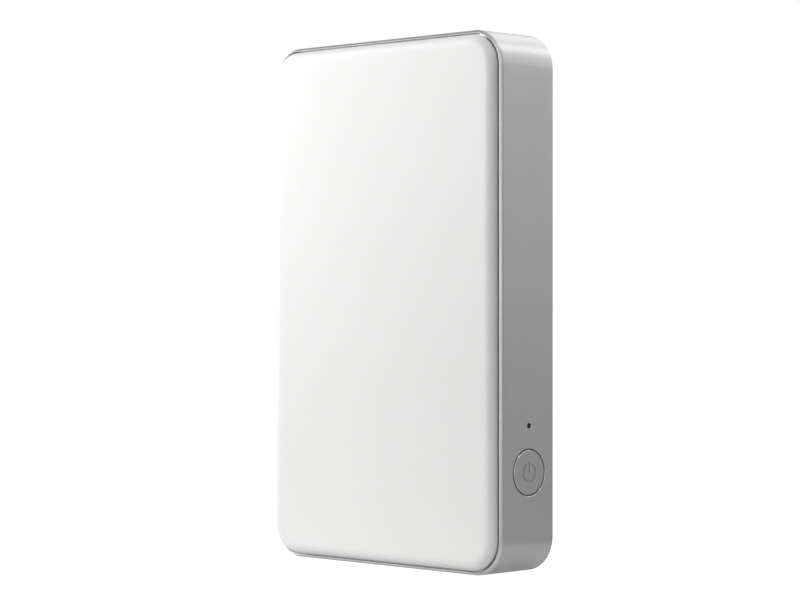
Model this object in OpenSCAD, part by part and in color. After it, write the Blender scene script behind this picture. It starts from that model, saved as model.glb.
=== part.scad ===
// Compact photo printer for 50.8 x 76.2 mm pocket prints, standing on its short end.
// X runs to the right, Y from the front cover to the back, Z up. All lengths are millimetres.
// The origin is the middle of the bounding box's floor.

/* [Case] */
// Height of the paper bay above the frame's foot
foot_room = 10.2; // [9.8:0.1:14]
// Height of the frame above the platen's centre
head_room = 18.9; // [18.4:0.1:24]
// Gap between the outermost gear and the chassis wall
side_room = 0.7; // [0.6:0.1:3]
// Depth of the metal side frame, front rim to back rim
frame_depth = 18; // [17.8:0.1:19]
// Thickness of the side frame's wall
wall = 1.5; // [1.3:0.1:1.6]
// Outer corner radius seen from the front
corner_r = 8.4; // [7.6:0.2:9.4]
// Bright chamfer on the front rim
edge_chamfer = 0.55; // [0.3:0.05:0.6]
// Wall left outside the rebate that takes a cover
lip = 0.7; // [0.65:0.05:0.9]
// Depth of the rebate that takes a cover
rebate = 1.2; // [1:0.1:1.4]

/* [Covers] */
// How far the front cover stands out of the frame
cover_proud = 1.8; // [1.5:0.1:2.4]
// How far the back cover stands out of the frame
back_proud = 1.5; // [1.3:0.1:2]
// Shell thickness of the front cover
cover_wall = 1.4; // [1.2:0.1:1.6]
// Shell thickness of the back cover
back_wall = 1.5; // [1.4:0.1:1.8]
// Gap between a cover and the frame's lip
cover_gap = 0.4; // [0.2:0.05:0.5]
// Width of the soft rounding along a cover's edge
edge_round = 2.6; // [2:0.1:3.2]
// Thickness of the plate behind the front cover
liner_t = 1; // [0.8:0.1:1]
// Radius of the magnets that hold the front cover
magnet_r = 2.2; // [1.5:0.1:2.4]
// Thickness of the magnets
magnet_t = 0.9; // [0.6:0.1:1]
// How far a rubber foot stands out of the back cover
foot_proud = 1; // [0.6:0.1:1.4]
// Radius of a rubber foot
foot_r = 3.2; // [2.4:0.1:3.6]

/* [Paper bay] */
// Width of a sheet
paper_w = 50.8; // [50.8:0.2:54]
// Length of a sheet
paper_l = 76.2; // [74:0.2:86]
// Room beside the sheets on each side
paper_play = 0.6; // [0.4:0.1:0.8]
// Room at the end of the sheets
end_play = 1; // [0.6:0.1:1.6]
// Depth of the bay below the chassis deck
bay_depth = 5.65; // [5.4:0.05:5.8]
// Thickness of the chassis mouldings
moulding_t = 1.2; // [1:0.1:1.4]
// Thickness of the spring-loaded pressure plate
plate_t = 0.6; // [0.4:0.1:0.8]

/* [Button and lamp] */
// Radius of the power button's face
button_r = 5.1; // [4:0.1:5.6]
// Gap round the power button
button_gap = 0.34; // [0.2:0.01:0.4]
// Height of the button's centre
button_z = 23.4; // [22.5:0.1:24]
// Distance from the frame's middle plane back to the button's centre
button_back = 0.45; // [0:0.05:0.8]
// Distance from the button up to the lamp
lamp_rise = 10.6; // [9:0.1:11]
// Radius of the lamp's light pipe
lamp_r = 0.65; // [0.4:0.05:0.7]
// Travel of the button
button_travel = 0.25; // [0.15:0.05:0.3]

/* [Mechanism] */
// Radius of the steel roller shafts
shaft_r = 1.2; // [1:0.05:1.3]
// Radius of the rubber platen roller
platen_r = 4; // [3.6:0.1:4.1]
// Radius of the rubber feed roller
feed_r = 3.5; // [3.2:0.1:3.6]
// Radius of the pickup tyres
pickup_r = 4.25; // [4:0.05:4.3]
// Distance of a pickup tyre from the middle
tyre_x = 9; // [8:0.5:11]
// Width of a pickup tyre
tyre_w = 8; // [5:0.5:8]
// Distance of the outer feed sleeves from the middle
sleeve_x = 18; // [16:0.5:19]
// Width of a feed sleeve
sleeve_w = 10; // [6:0.5:11]
// Radius of the steel pinch roller
pinch_r = 2.4; // [2:0.1:2.4]
// Radial running clearance of a shaft in its bush
running_gap = 0.05; // [0.02:0.01:0.1]
// Thickness of the folded sheet-steel frame
sheet_t = 0.8; // [0.6:0.1:0.8]
// Gear module
gear_m = 0.5; // [0.48:0.01:0.51]
// Thickness of each gear
gear_t = 1.5; // [1.3:0.1:1.6]
// Clearance between stacked gears
gear_gap = 0.6; // [0.6:0.05:0.65]
// Radius of the motor's can
motor_r = 5; // [4.4:0.1:5.2]
// Length of the motor's can
motor_l = 16; // [13:0.5:17]

/* [Electronics] */
// Thickness of the circuit boards
board_t = 1; // [0.8:0.1:1.2]
// Height of the battery pack
battery_h = 32.6; // [28:0.2:33]
// Gap between the battery pack and the motor
battery_gap = 2.5; // [2:0.1:6]
// Thickness of the battery pack
battery_t = 7; // [5:0.2:7.2]
// Width of the charging socket
usb_w = 7.6; // [7:0.1:8.4]
// Thickness of the charging socket
usb_t = 2.7; // [2.4:0.1:2.9]

/* [Hidden] */

$fn = 64;
facets_of_coil = 6;          // sides of a spring's wire
steps_per_turn = 12;         // rings in one turn of a spring
slack = 0.1;                 // gap between two parts that sit still
seat_gap = 0.05;             // gap between the shut front cover and the rebate's floor
over = 1;                    // extra length of a cutter

// Width, from the sheet's bay out to the frame
bay_half = paper_w / 2 + paper_play;
bay_block_half = bay_half + moulding_t;
cheek_in = bay_block_half + 0.2;                  // inner face of the mechanism's side plate
cheek_out = cheek_in + sheet_t;
layer_step = gear_t + gear_gap;
layer_x = [cheek_out + 0.5, cheek_out + 0.5 + layer_step, cheek_out + 0.5 + 2 * layer_step];
skirt_t = 1;
chassis_inset = wall + slack;                     // distances in from the frame's outer face
inner_x = layer_x[2] + gear_t + side_room;        // free half width inside the chassis
half_w = inner_x + skirt_t + chassis_inset;
body_w = 2 * half_w;

// Levels from front to back
face_y = -(cover_proud + frame_depth + back_proud + foot_proud) / 2;
rim_y = face_y + cover_proud;
back_rim_y = rim_y + frame_depth;
back_y = back_rim_y + back_proud;
foot_y = back_y + foot_proud;
deck_y = rim_y + rebate;                       // front face of the chassis
liner_y = face_y + cover_wall + liner_t;       // inner face of the cover's liner
floor_y = deck_y + bay_depth;                  // paper side of the bay's floor
floor_t = 1;
floor_back_y = floor_y + floor_t;
paper_y = floor_y - 0.5;                       // plane of the moving sheet
skirt_end_y = back_rim_y - rebate - slack;
back_inner_y = back_y - back_wall;

// Outlines of the covers
cover_inset = lip + cover_gap;
liner_inset = cover_inset + cover_wall + slack;
skirt_r = corner_r - cover_inset;                  // corner radius of a cover's outer face
overlap_r = skirt_r - edge_round - 0.6;            // the soft edge's inner end, under the flat face

// Gears, in three layers outside the right side plate
roller_teeth = 16;
idler_teeth = 12;
pinion_teeth = 10;
first_teeth = 28;
second_teeth = 26;
backlash = 0.06;                                  // taken off each tooth's thickness
post_r = 0.8;
post_head_r = 1.5;
post_head_t = 0.3;

function pitch_r(teeth) = gear_m * teeth / 2;
function mesh_distance(a, b) = pitch_r(a) + pitch_r(b);
roller_mesh = mesh_distance(roller_teeth, idler_teeth);
first_mesh = mesh_distance(pinion_teeth, second_teeth);
motor_mesh = mesh_distance(pinion_teeth, first_teeth);

// Height, from the paper bay up through the rollers
bay_bottom = foot_room;
bay_top = bay_bottom + paper_l + end_play;
feed_z = bay_top + 0.6 + feed_r;
pickup_z = feed_z - 2 * roller_mesh + 0.5;
platen_z = feed_z + 2 * roller_mesh - 0.4;
body_h = platen_z + head_room;
platen_y = paper_y + platen_r;
feed_y = paper_y + feed_r;
pickup_y = paper_y - 0.1 + pickup_r;
sheet_gap = 0.14;                                 // open nip at a roller with no sheet in it
pinch_y = paper_y - sheet_gap - pinch_r;
pinch_journal_r = 0.9;
bay_wall_y = liner_y + 2.75;                      // floor of the pocket for the plate's hinge
hinge_y = liner_y + 1.3;
hinge_z = bay_bottom - 2;
hinge_pin_r = 0.6;
knuckle_r = 1.15;
knuckle_len = 6;
knuckle_x = 17;
pad_w = 30;
pad_h = 9;
lug_t = 1.1;
lug_half = bay_half + 0.4;                        // outer face of a hinge lug
tray_half = bay_block_half;
tray_low_z = hinge_z - 2.4;
tray_top_z = bay_top + moulding_t;
ledge_w = 3;                                      // ledge that rests behind the chassis deck
plate_back_y = liner_y + 0.4;                     // cover side of the pressure plate
plate_half = paper_w / 2 - 0.8;
plate_spring_x = 14;
plate_spring_r = 2;
plate_spring_z = pickup_z - 6;

// Folded frame of the mechanism
cheek_front_y = deck_y + moulding_t + 0.05;
cheek_top_z = body_h - chassis_inset - skirt_t - slack;
base_y = back_inner_y - 0.65;                     // back face of the frame's base
base_top_z = platen_z + 5;
bush_r = 2;
bush_flange_r = 2.5;
bush_flange_t = 0.4;
bush_end_x = cheek_out + 0.3;
shaft_tail_x = cheek_out + 1.2;

// Centre of an idler that meshes with two equal gears at p and q, on the back side of their line
function idler_between(p, q, d) =
    let (span = norm(q - p), along = (q - p) / span, off = sqrt(max(0, d * d - span * span / 4)))
    (p + q) / 2 + off * [along[1], -along[0]];

platen_at = [platen_y, platen_z];
feed_at = [feed_y, feed_z];
pickup_at = [pickup_y, pickup_z];
upper_idler_at = idler_between(feed_at, platen_at, roller_mesh);
lower_idler_at = idler_between(pickup_at, feed_at, roller_mesh);
second_y = 0.2;
second_at = [second_y, pickup_z - sqrt(pow(roller_mesh, 2) - pow(pickup_y - second_y, 2))];
first_y = 0;
first_at = [first_y,
            second_at[1] - sqrt(pow(first_mesh, 2) - pow(second_y - first_y, 2))];
motor_flat = 4.2;                                 // half the distance across the motor's flats
motor_y = back_inner_y - motor_flat - 0.55;
motor_at = [motor_y,
            first_at[1] - sqrt(pow(motor_mesh, 2) - pow(motor_y - first_y, 2))];
motor_shaft_r = 0.75;
motor_boss_r = 1.9;
motor_boss_l = 1.1;
motor_screw_r = 0.7;
motor_screw_rise = 3.1;
motor_screw_at = [motor_at - [0, motor_screw_rise], motor_at + [0, motor_screw_rise]];
ear_z = motor_at[1] - motor_r - 3.4;               // screw ear below the motor
ear_x = cheek_in - 3.6;
ear_half = 3;
right_cheek_low_z = ear_z - ear_half;
left_cheek_low_z = pickup_z - 4;
mount_z = (pickup_z + pickup_r + feed_z - feed_r) / 2;
mount_x = bay_block_half - 7.2;
mounts = [[-mount_x, mount_z], [mount_x, mount_z], [ear_x, ear_z]];   // screws of the folded frame, x and z
sensor_x = -2;
sensor_z = mount_z;

// Angle of a gear's first tooth so that it meshes with a neighbour
function bearing(p, q) = atan2(q[1] - p[1], q[0] - p[0]);
function mesh_phase(teeth, phase, next_teeth, angle) =
    angle + 180 - teeth / next_teeth * (phase - angle) - 180 / next_teeth;
feed_phase = 0;
upper_idler_phase = mesh_phase(roller_teeth, feed_phase, idler_teeth, bearing(feed_at, upper_idler_at));
platen_phase = mesh_phase(idler_teeth, upper_idler_phase, roller_teeth, bearing(upper_idler_at, platen_at));
lower_idler_phase = mesh_phase(roller_teeth, feed_phase, idler_teeth, bearing(feed_at, lower_idler_at));
pickup_phase = mesh_phase(idler_teeth, lower_idler_phase, roller_teeth, bearing(lower_idler_at, pickup_at));
second_phase = mesh_phase(roller_teeth, pickup_phase, idler_teeth, bearing(pickup_at, second_at));
first_phase = mesh_phase(second_teeth, second_phase, pinion_teeth, bearing(second_at, first_at));
pinion_phase = mesh_phase(first_teeth, first_phase, pinion_teeth, bearing(first_at, motor_at));

// Thermal head
head_half = cheek_in - 0.8;
ceramic_t = 0.7;
ceramic_y = paper_y - 0.2;                        // paper side of the ceramic
sink_t = 2.2;
sink_y = ceramic_y - ceramic_t;                   // back of the heat sink
sink_low_z = platen_z - 5.6;
pivot_y = sink_y - sink_t / 2;
pivot_z = platen_z + 11.1;
pivot_rod_r = 0.8;
pivot_boss_r = 1.5;
stay_t = 0.6;
stay_y = liner_y + 0.7;                           // front face of the spring stay
stay_z = platen_z - 0.6;
stay_h = 6;
head_spring_x = 15;
head_spring_r = 2.2;

// Exit
exit_half = paper_w / 2 + 1.3;
exit_t = 4.8;
exit_wall = 0.8;
exit_lip = 0.6;

// Boards and what is on them
cable_x = -cheek_out - 2.4;                       // inner face of the head's flat cable
cable_t = 0.2;
cable_half = 4;
board_y = 4;                                      // front face of the main board
board_low_z = chassis_inset + skirt_t + 0.6;
battery_z = pickup_z - pickup_r - 1.15 - battery_h;
board_top_z = battery_z - 1.5;
socket_w = 6;                                     // a cable socket on the board
socket_h = 5;
socket_t = 2;
socket_edge = 1;                                  // from a socket to the board's upper edge
socket_z = board_top_z - socket_edge - socket_h + 1;
board_half = inner_x - 3.1;
chip_room = board_top_z - socket_edge - socket_h - board_low_z;  // board under the sockets
cable_low_z = pivot_z - 7.6;                      // the flat cable's strip behind the head
cable_high_z = pivot_z - 3;
board_corner_r = 4;
usb_l = 5.2;
usb_wall = 0.3;
usb_y = board_y - usb_t / 2;
usb_port_slack = 0.5;
charge_x = 10;
reset_x = -10;
pin_hole_r = 0.5;
post_x = bay_block_half - 4.2;
post_low_z = board_low_z + 8.3;
post_high_z = board_top_z - 4;
screw_r = 0.75;
screw_head_r = 1.5;
screw_head_t = 0.7;
battery_y = floor_back_y + 0.3;
battery_x = cable_x + 0.7;
battery_w = cheek_in - motor_l - battery_gap - battery_x;
wire_r = 0.35;
wire_y = board_y + board_t + wire_r + 0.05;
wire_x = [-13.2, -11.6];
wire_depth = 0.5;                                 // a wire's length inside its socket
case_screw_x = half_w - 7.3;
case_screw_low_z = 8;
case_screw_high_z = body_h - 4.6;
boss_r = 1.9;
foot_sink = 0.4;
magnet_x = half_w - 6.1;
magnet_low_z = 7;
magnet_high_z = body_h - 7;
magnet_pad_r = 3.1;
button_y = (rim_y + back_rim_y) / 2 + button_back;
lamp_z = button_z + lamp_rise;
button_cap_t = wall + 0.7;
button_hole_r = button_r + button_gap;
flange_r = button_r + 0.8;
flange_t = 0.55;
cap_bevel = 0.12;
button_inner_x = half_w - button_cap_t;
plunger_t = 0.4;
plunger_r = 1.1;
switch_t = 0.8;
side_board_t = 0.8;
side_board_x = button_inner_x - button_travel - 0.05 - plunger_t - switch_t - side_board_t;
side_board_low_z = button_z - 6.8;
side_board_high_z = lamp_z + 4;
side_board_half = 5;
icon_r = 2.05;
icon_line = 0.36;
icon_depth = 0.15;
icon_gap_half = 32;                               // half angle of the opening in the ring of the power sign

// ---------- Shared shapes ----------

// Extrudes a front view, drawn in x and z, from y0 back to y1
module front_slab(y0, y1) {
    translate([0, y1, 0]) rotate([90, 0, 0]) linear_extrude(y1 - y0) children();
}

// Extrudes a side view, drawn in y and z, from x0 to x1
module side_slab(x0, x1) {
    translate([x0, 0, 0]) rotate([90, 0, 90]) linear_extrude(x1 - x0) children();
}

// The case's outline in x and z, moved in by inset
module outline(inset) {
    w = body_w - 2 * inset;
    h = body_h - 2 * inset;
    r = corner_r - inset;
    translate([-w / 2, inset + r]) square([w, h - 2 * r]);
    translate([-w / 2 + r, inset]) square([w - 2 * r, h]);
    for (x = [-1, 1], z = [inset + r, body_h - inset - r]) translate([x * (w / 2 - r), z]) circle(r);
}

// Sweeps a section round the case's outline. The section is drawn at corner_r minus the distance in, and y
module sweep_outline() {
    straight_x = half_w - corner_r;
    straight_z = body_h - 2 * corner_r;
    for (side = [0, 1]) {
        mirror([side, 0, 0]) translate([straight_x, 0, corner_r]) linear_extrude(straight_z) children();
        translate([0, 0, side * body_h]) mirror([0, 0, side])
            translate([-straight_x, 0, corner_r]) rotate([0, 90, 0])
                linear_extrude(2 * straight_x) children();
        for (end = [0, 1])
            translate([0, 0, end * body_h]) mirror([0, 0, end]) mirror([side, 0, 0])
                translate([straight_x, 0, corner_r]) rotate([-90, 0, 0])
                    rotate_extrude(angle = 90) children();
    }
}

// A box given by its two corners
module block(low, high) {
    translate(low) cube(high - low);
}

module rod_x(x0, x1, at, r) {
    translate([x0, at[0], at[1]]) rotate([0, 90, 0]) cylinder(h = x1 - x0, r = r);
}

module rod_y(y0, y1, x, z, r) {
    translate([x, y1, z]) rotate([90, 0, 0]) cylinder(h = y1 - y0, r = r);
}

module rod_z(z0, z1, x, y, r) {
    translate([x, y, z0]) cylinder(h = z1 - z0, r = r);
}

// Rounded rectangle in a plane, centred
module round_box(w, h, r) {
    square([w - 2 * r, h], center = true);
    square([w, h - 2 * r], center = true);
    for (x = [-1, 1], y = [-1, 1]) translate([x * (w / 2 - r), y * (h / 2 - r)]) circle(r, $fn = 32);
}

// Points of one soft cover edge, from the rim side round to the flat face, in section coordinates
function soft_edge(inset, depth, base, out) =
    [for (i = [0:10]) [corner_r - inset - edge_round * (1 - cos(9 * i)), base + out * depth * sin(9 * i)]];

// A helical compression spring along y, from y0 to y1
module coil(y0, y1, x, z, r, wire, turns) {
    steps = steps_per_turn * turns;
    rise = (y1 - y0 - 2 * wire) / steps;
    points = [for (i = [0:steps], k = [0:facets_of_coil - 1])
        let (a = 360 * i / steps_per_turn, b = 360 * k / facets_of_coil, s = r - wire + wire * cos(b))
        [x + s * cos(a), y0 + wire + rise * i + wire * sin(b), z + s * sin(a)]];
    sides = [for (i = [0:steps - 1], k = [0:facets_of_coil - 1])
        let (n = (k + 1) % facets_of_coil, lower = i * facets_of_coil, upper = lower + facets_of_coil)
        [lower + k, lower + n, upper + n, upper + k]];
    last = steps * facets_of_coil;
    polyhedron(points, concat(sides, [[for (k = [facets_of_coil - 1:-1:0]) k]],
                              [[for (k = [0:facets_of_coil - 1]) last + k]]), convexity = 6);
}

// ---------- Gears ----------

function roll_angle(radius, base) = sqrt(max(0, pow(radius / base, 2) - 1)) * 180 / PI;
function involute(radius, base) =
    radius <= base ? 0 : roll_angle(radius, base) - acos(base / radius);

// Half the angle that a tooth fills at a radius
function tooth_half(teeth, radius) =
    let (p = pitch_r(teeth), base = p * cos(20), at_pitch = (90 - backlash / gear_m / PI * 180) / teeth)
    at_pitch + involute(p, base) - involute(radius, base);

module gear_shape(teeth) {
    p = pitch_r(teeth);
    root = p - 1.15 * gear_m;
    tip = p + 0.8 * gear_m;
    low = max(root + 0.05 * gear_m, p * cos(20));
    levels = [for (i = [0:3]) low + (tip - low) * i / 3];
    polygon([for (i = [0:teeth - 1], side = [-1, 1], k = [0:4])
        let (level = side < 0 ? k : 4 - k, radius = level == 0 ? root : levels[level - 1],
             a = 360 / teeth * i + side * tooth_half(teeth, max(radius, low)))
        radius * [cos(a), sin(a)]]);
}

module gear(teeth, phase, at, layer, bore) {
    side_slab(layer_x[layer], layer_x[layer] + gear_t) translate(at) difference() {
        rotate(phase) gear_shape(teeth);
        circle(bore, $fn = 32);
    }
}

// Rim and web recesses of a larger gear, cut into one face
module gear_recess(teeth, at, layer, hub) {
    x = layer_x[layer];
    difference() {
        rod_x(x + gear_t - 0.4, x + gear_t + over, at, pitch_r(teeth) - 1.6);
        rod_x(x, x + gear_t + 2 * over, at, hub);
    }
}

// The bore and journal of one roller gear, which turns with its shaft
module roller_gear(at, phase) {
    difference() {
        union() {
            gear(roller_teeth, phase, at, 0, shaft_r);
            rod_x(layer_x[0] - 0.15, layer_x[0], at, shaft_r + 0.7);
        }
        rod_x(layer_x[0] - over, layer_x[0] + gear_t + over, at, shaft_r);
    }
}

// ---------- Case ----------

module side_frame() {
    back_chamfer = 0.4;
    color([0.62, 0.62, 0.63]) difference() {
        sweep_outline() polygon([
            [corner_r, rim_y + edge_chamfer], [corner_r - edge_chamfer, rim_y], [corner_r - lip, rim_y],
            [corner_r - lip, rim_y + rebate], [corner_r - wall, rim_y + rebate],
            [corner_r - wall, back_rim_y - rebate], [corner_r - lip, back_rim_y - rebate],
            [corner_r - lip, back_rim_y], [corner_r - back_chamfer, back_rim_y],
            [corner_r, back_rim_y - back_chamfer]]);
        rod_x(half_w - wall - over, half_w + over, [button_y, button_z], button_hole_r);
        translate([half_w - cap_bevel, button_y, button_z]) rotate([0, 90, 0])
            cylinder(h = 2 * cap_bevel, r1 = button_hole_r, r2 = button_hole_r + 2 * cap_bevel);
        rod_x(half_w - wall - over, half_w + over, [button_y, lamp_z], lamp_r);
        usb_port_cut(-over, wall + over);
        for (x = [charge_x, reset_x]) rod_z(-over, wall + over, x, usb_y, pin_hole_r);
        exit_shape(body_h - wall - over, body_h + over, exit_wall + slack);
    }
}

module usb_port_cut(z0, z1) {
    translate([0, usb_y, z0]) linear_extrude(z1 - z0)
        round_box(usb_w + usb_port_slack, usb_t + usb_port_slack, 0.9);
}

// The mouth where a print comes out, grown by a wall
module exit_shape(z0, z1, grow) {
    translate([0, paper_y, z0]) linear_extrude(z1 - z0)
        round_box(2 * (exit_half + grow), exit_t + 2 * grow, exit_t / 2 + grow - 0.3);
}

module exit_bezel() {
    inner_z = body_h - wall - slack;
    color([0.13, 0.13, 0.14]) difference() {
        union() {
            exit_shape(inner_z, body_h - 0.15, exit_wall);
            exit_shape(inner_z - exit_lip, inner_z, exit_wall + 0.7);
        }
        exit_shape(inner_z - over - exit_lip, body_h + over, 0);
    }
}

module back_cover() {
    skirt_y = back_rim_y - rebate + 0.2;
    color([0.93, 0.93, 0.92]) difference() {
        union() {
            sweep_outline() polygon(concat(
                [[overlap_r, back_inner_y], [skirt_r - back_wall, back_inner_y],
                 [skirt_r - back_wall, skirt_y], [skirt_r, skirt_y]],
                soft_edge(cover_inset, back_proud, back_rim_y, 1), [[overlap_r, back_y]]));
            front_slab(back_inner_y, back_y) outline(cover_inset + edge_round);
        }
        for (x = [-1, 1], z = [case_screw_low_z, case_screw_high_z]) {
            rod_y(back_y - foot_sink, back_y + over, x * case_screw_x, z, foot_r + slack);
            rod_y(back_inner_y - over, back_y, x * case_screw_x, z, screw_r + 0.15);
            rod_y(back_y - foot_sink - screw_head_t, back_y, x * case_screw_x, z, screw_head_r + slack);
        }
    }
}

module back_cover_screws() {
    top = back_y - foot_sink - 0.05;
    color([0.45, 0.45, 0.47]) for (x = [-1, 1], z = [case_screw_low_z, case_screw_high_z]) difference() {
        union() {
            rod_y(top - screw_head_t + 0.05, top, x * case_screw_x, z, screw_head_r);
            rod_y(back_inner_y - 5, top - screw_head_t + 0.05, x * case_screw_x, z, screw_r);
        }
        cross_recess(x * case_screw_x, top, z);
    }
}

// A cross slot in a screw head whose top faces back
module cross_recess(x, y, z) {
    for (a = [0, 90]) translate([x, y, z]) rotate([0, a, 0]) cube([1.5, 0.7, 0.35], center = true);
}

module rubber_feet() {
    color([0.2, 0.2, 0.21]) for (x = [-1, 1], z = [case_screw_low_z, case_screw_high_z])
        translate([x * case_screw_x, 0, z]) rotate([-90, 0, 0]) rotate_extrude() polygon([
            [0, back_y - foot_sink], [foot_r, back_y - foot_sink], [foot_r, foot_y - 0.3],
            [foot_r - 0.3, foot_y], [0, foot_y]]);
}

// ---------- Chassis ----------

module chassis() {
    color([0.16, 0.16, 0.17]) difference() {
        union() {
            difference() {
                front_slab(deck_y, skirt_end_y) outline(chassis_inset);
                front_slab(deck_y + moulding_t, skirt_end_y + over) outline(chassis_inset + skirt_t);
            }
            chassis_posts();
        }
        chassis_cuts();
    }
}

// Bosses for the case screws, magnet pads and the two clips that hold the button board
module chassis_posts() {
    for (x = [-1, 1]) {
        for (z = [case_screw_low_z, case_screw_high_z])
            rod_y(deck_y + moulding_t / 2, back_inner_y - slack, x * case_screw_x, z, boss_r);
        for (z = [magnet_low_z, magnet_high_z]) rod_y(deck_y, deck_y + 2.5, x * magnet_x, z, magnet_pad_r);
    }
    for (z = [side_board_low_z, side_board_high_z])
        block([side_board_x - 1, deck_y + moulding_t / 2, z - 1.2],
              [side_board_x + side_board_t + 0.8, button_y + side_board_half, z + 1.2]);
}

module chassis_cuts() {
    deck_back_y = deck_y + moulding_t;
    block([-tray_half - slack, deck_y - over, tray_low_z - slack],
          [tray_half + slack, deck_back_y + slack, tray_top_z + slack]);
    block([-cheek_out - 0.8, deck_y - over, tray_top_z],
          [inner_x, deck_back_y + slack, magnet_high_z - 3.6]);
    block([layer_x[2] - 0.4, deck_y - over, first_at[1] - 5],
          [layer_x[2] + gear_t + 0.4, deck_back_y + slack, first_at[1] + 5]);
    block([-exit_half - 3, deck_back_y, body_h - chassis_inset - skirt_t - over],
          [exit_half + 3, skirt_end_y + over, body_h]);
    usb_port_cut(0, chassis_inset + skirt_t + over);
    for (x = [charge_x, reset_x])
        rod_z(0, chassis_inset + skirt_t + over, x, usb_y, pin_hole_r + 0.3);
    rod_x(inner_x - over, half_w, [button_y, button_z], flange_r + 0.5);
    rod_x(inner_x - over, half_w, [button_y, lamp_z], lamp_r + 0.6);
    block([side_board_x - slack / 2, button_y - side_board_half - slack, side_board_low_z - slack],
          [side_board_x + side_board_t + slack / 2, button_y + side_board_half + slack,
           side_board_high_z + slack]);
    for (x = [-1, 1]) {
        for (z = [magnet_low_z, magnet_high_z])
            rod_y(deck_y - over, deck_y + magnet_t + slack, x * magnet_x, z, magnet_r + slack / 2);
        for (z = [case_screw_low_z, case_screw_high_z])
            rod_y(back_inner_y - 6, back_inner_y, x * case_screw_x, z, screw_r);
    }
}

// The moulded tray that holds the sheets. It carries the boards, the battery and the mechanism on its back
module paper_tray() {
    color([0.18, 0.18, 0.19]) difference() {
        union() {
            block([-tray_half, deck_y, tray_low_z], [tray_half, floor_back_y, tray_top_z]);
            for (x = [-1, 1]) translate([x * tray_half, 0, 0])
                block([-ledge_w, deck_y + moulding_t, tray_low_z + 8],
                      [ledge_w, deck_y + 2 * moulding_t, battery_z]);
            for (x = [-1, 1], z = [post_low_z, post_high_z]) rod_y(floor_y, board_y, x * post_x, z, boss_r);
            for (at = mounts) rod_y(floor_y, base_y - sheet_t, at[0], at[1], boss_r);
            for (z = [battery_z - 0.9, battery_z + battery_h + 0.1])
                block([battery_x + 8, floor_y, z], [battery_x + battery_w - 8, battery_y + 2, z + 0.8]);
        }
        tray_cuts();
    }
}

module tray_cuts() {
    block([-bay_half, deck_y - over, bay_bottom], [bay_half, floor_y, bay_top]);
    block([-lug_half - 0.3, deck_y - over, tray_low_z - over],
          [lug_half + 0.3, bay_wall_y, bay_bottom + over]);
    block([-bay_half + 0.2, floor_y - moulding_t, bay_top - over],
          [bay_half - 0.2, floor_y, tray_top_z + over]);
    for (x = [-1, 1]) {
        translate([x * tyre_x, 0, 0])
            block([-tyre_w / 2 - 0.6, floor_y - over, pickup_z - pickup_r - 0.6],
                  [tyre_w / 2 + 0.6, floor_back_y + over, pickup_z + pickup_r + 0.6]);
        for (z = [post_low_z, post_high_z]) rod_y(board_y - 3.5, board_y + over, x * post_x, z, screw_r);
    }
    rod_x(-tray_half - over, tray_half + over, feed_at, feed_r + 0.4);
    block([sensor_x - 1.2, floor_y - over, sensor_z - 1.2],
          [sensor_x + 1.2, floor_back_y + over, sensor_z + 1.2]);
    for (at = mounts) rod_y(floor_back_y, base_y, at[0], at[1], screw_r);
}

module keeper_magnets() {
    color([0.72, 0.72, 0.74]) magnets(deck_y + slack, magnet_t);
}

module magnets(y, t) {
    for (x = [-1, 1], z = [magnet_low_z, magnet_high_z]) rod_y(y, y + t, x * magnet_x, z, magnet_r);
}

// ---------- Front cover and pressure plate ----------

module front_cover() {
    skirt_y = rim_y + rebate - seat_gap;
    inner_y = face_y + cover_wall;
    color([0.95, 0.95, 0.94]) union() {
        sweep_outline() polygon(concat(
            [[overlap_r, inner_y], [skirt_r - cover_wall, inner_y], [skirt_r - cover_wall, skirt_y],
             [skirt_r, skirt_y]],
            soft_edge(cover_inset, cover_proud, rim_y, -1), [[overlap_r, face_y]]));
        front_slab(face_y, inner_y) outline(cover_inset + edge_round);
    }
}

module cover_liner() {
    color([0.2, 0.2, 0.21]) difference() {
        union() {
            front_slab(face_y + cover_wall, liner_y) outline(liner_inset);
            for (x = [-1, 1]) translate([x * (lug_half - lug_t / 2), 0, 0])
                hinge_lug();
        }
        magnets(face_y + cover_wall - over, liner_t + 2 * over);
        for (x = [-1, 1])
            rod_y(face_y + cover_wall - over, liner_y + over, x * plate_spring_x, plate_spring_z,
                  plate_spring_r + 0.4);
        rod_x(-lug_half - over, lug_half + over, [hinge_y, hinge_z], hinge_pin_r);
    }
}

// One ear that carries the pressure plate's pin
module hinge_lug() {
    block([-lug_t / 2, liner_y - 0.5, hinge_z - 1.1], [lug_t / 2, hinge_y, hinge_z + 1.1]);
    rod_x(-lug_t / 2, lug_t / 2, [hinge_y, hinge_z], 1.1);
}

module cover_magnets() {
    color([0.72, 0.72, 0.74]) magnets(face_y + cover_wall, magnet_t);
}

module hinge_pin() {
    color([0.7, 0.7, 0.72]) rod_x(-lug_half, lug_half, [hinge_y, hinge_z], hinge_pin_r);
}

module plate_springs() {
    color([0.75, 0.75, 0.76]) for (x = [-1, 1])
        coil(face_y + cover_wall + 0.02, plate_back_y - 0.02, x * plate_spring_x, plate_spring_z,
             plate_spring_r, 0.15, 3);
}

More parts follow.
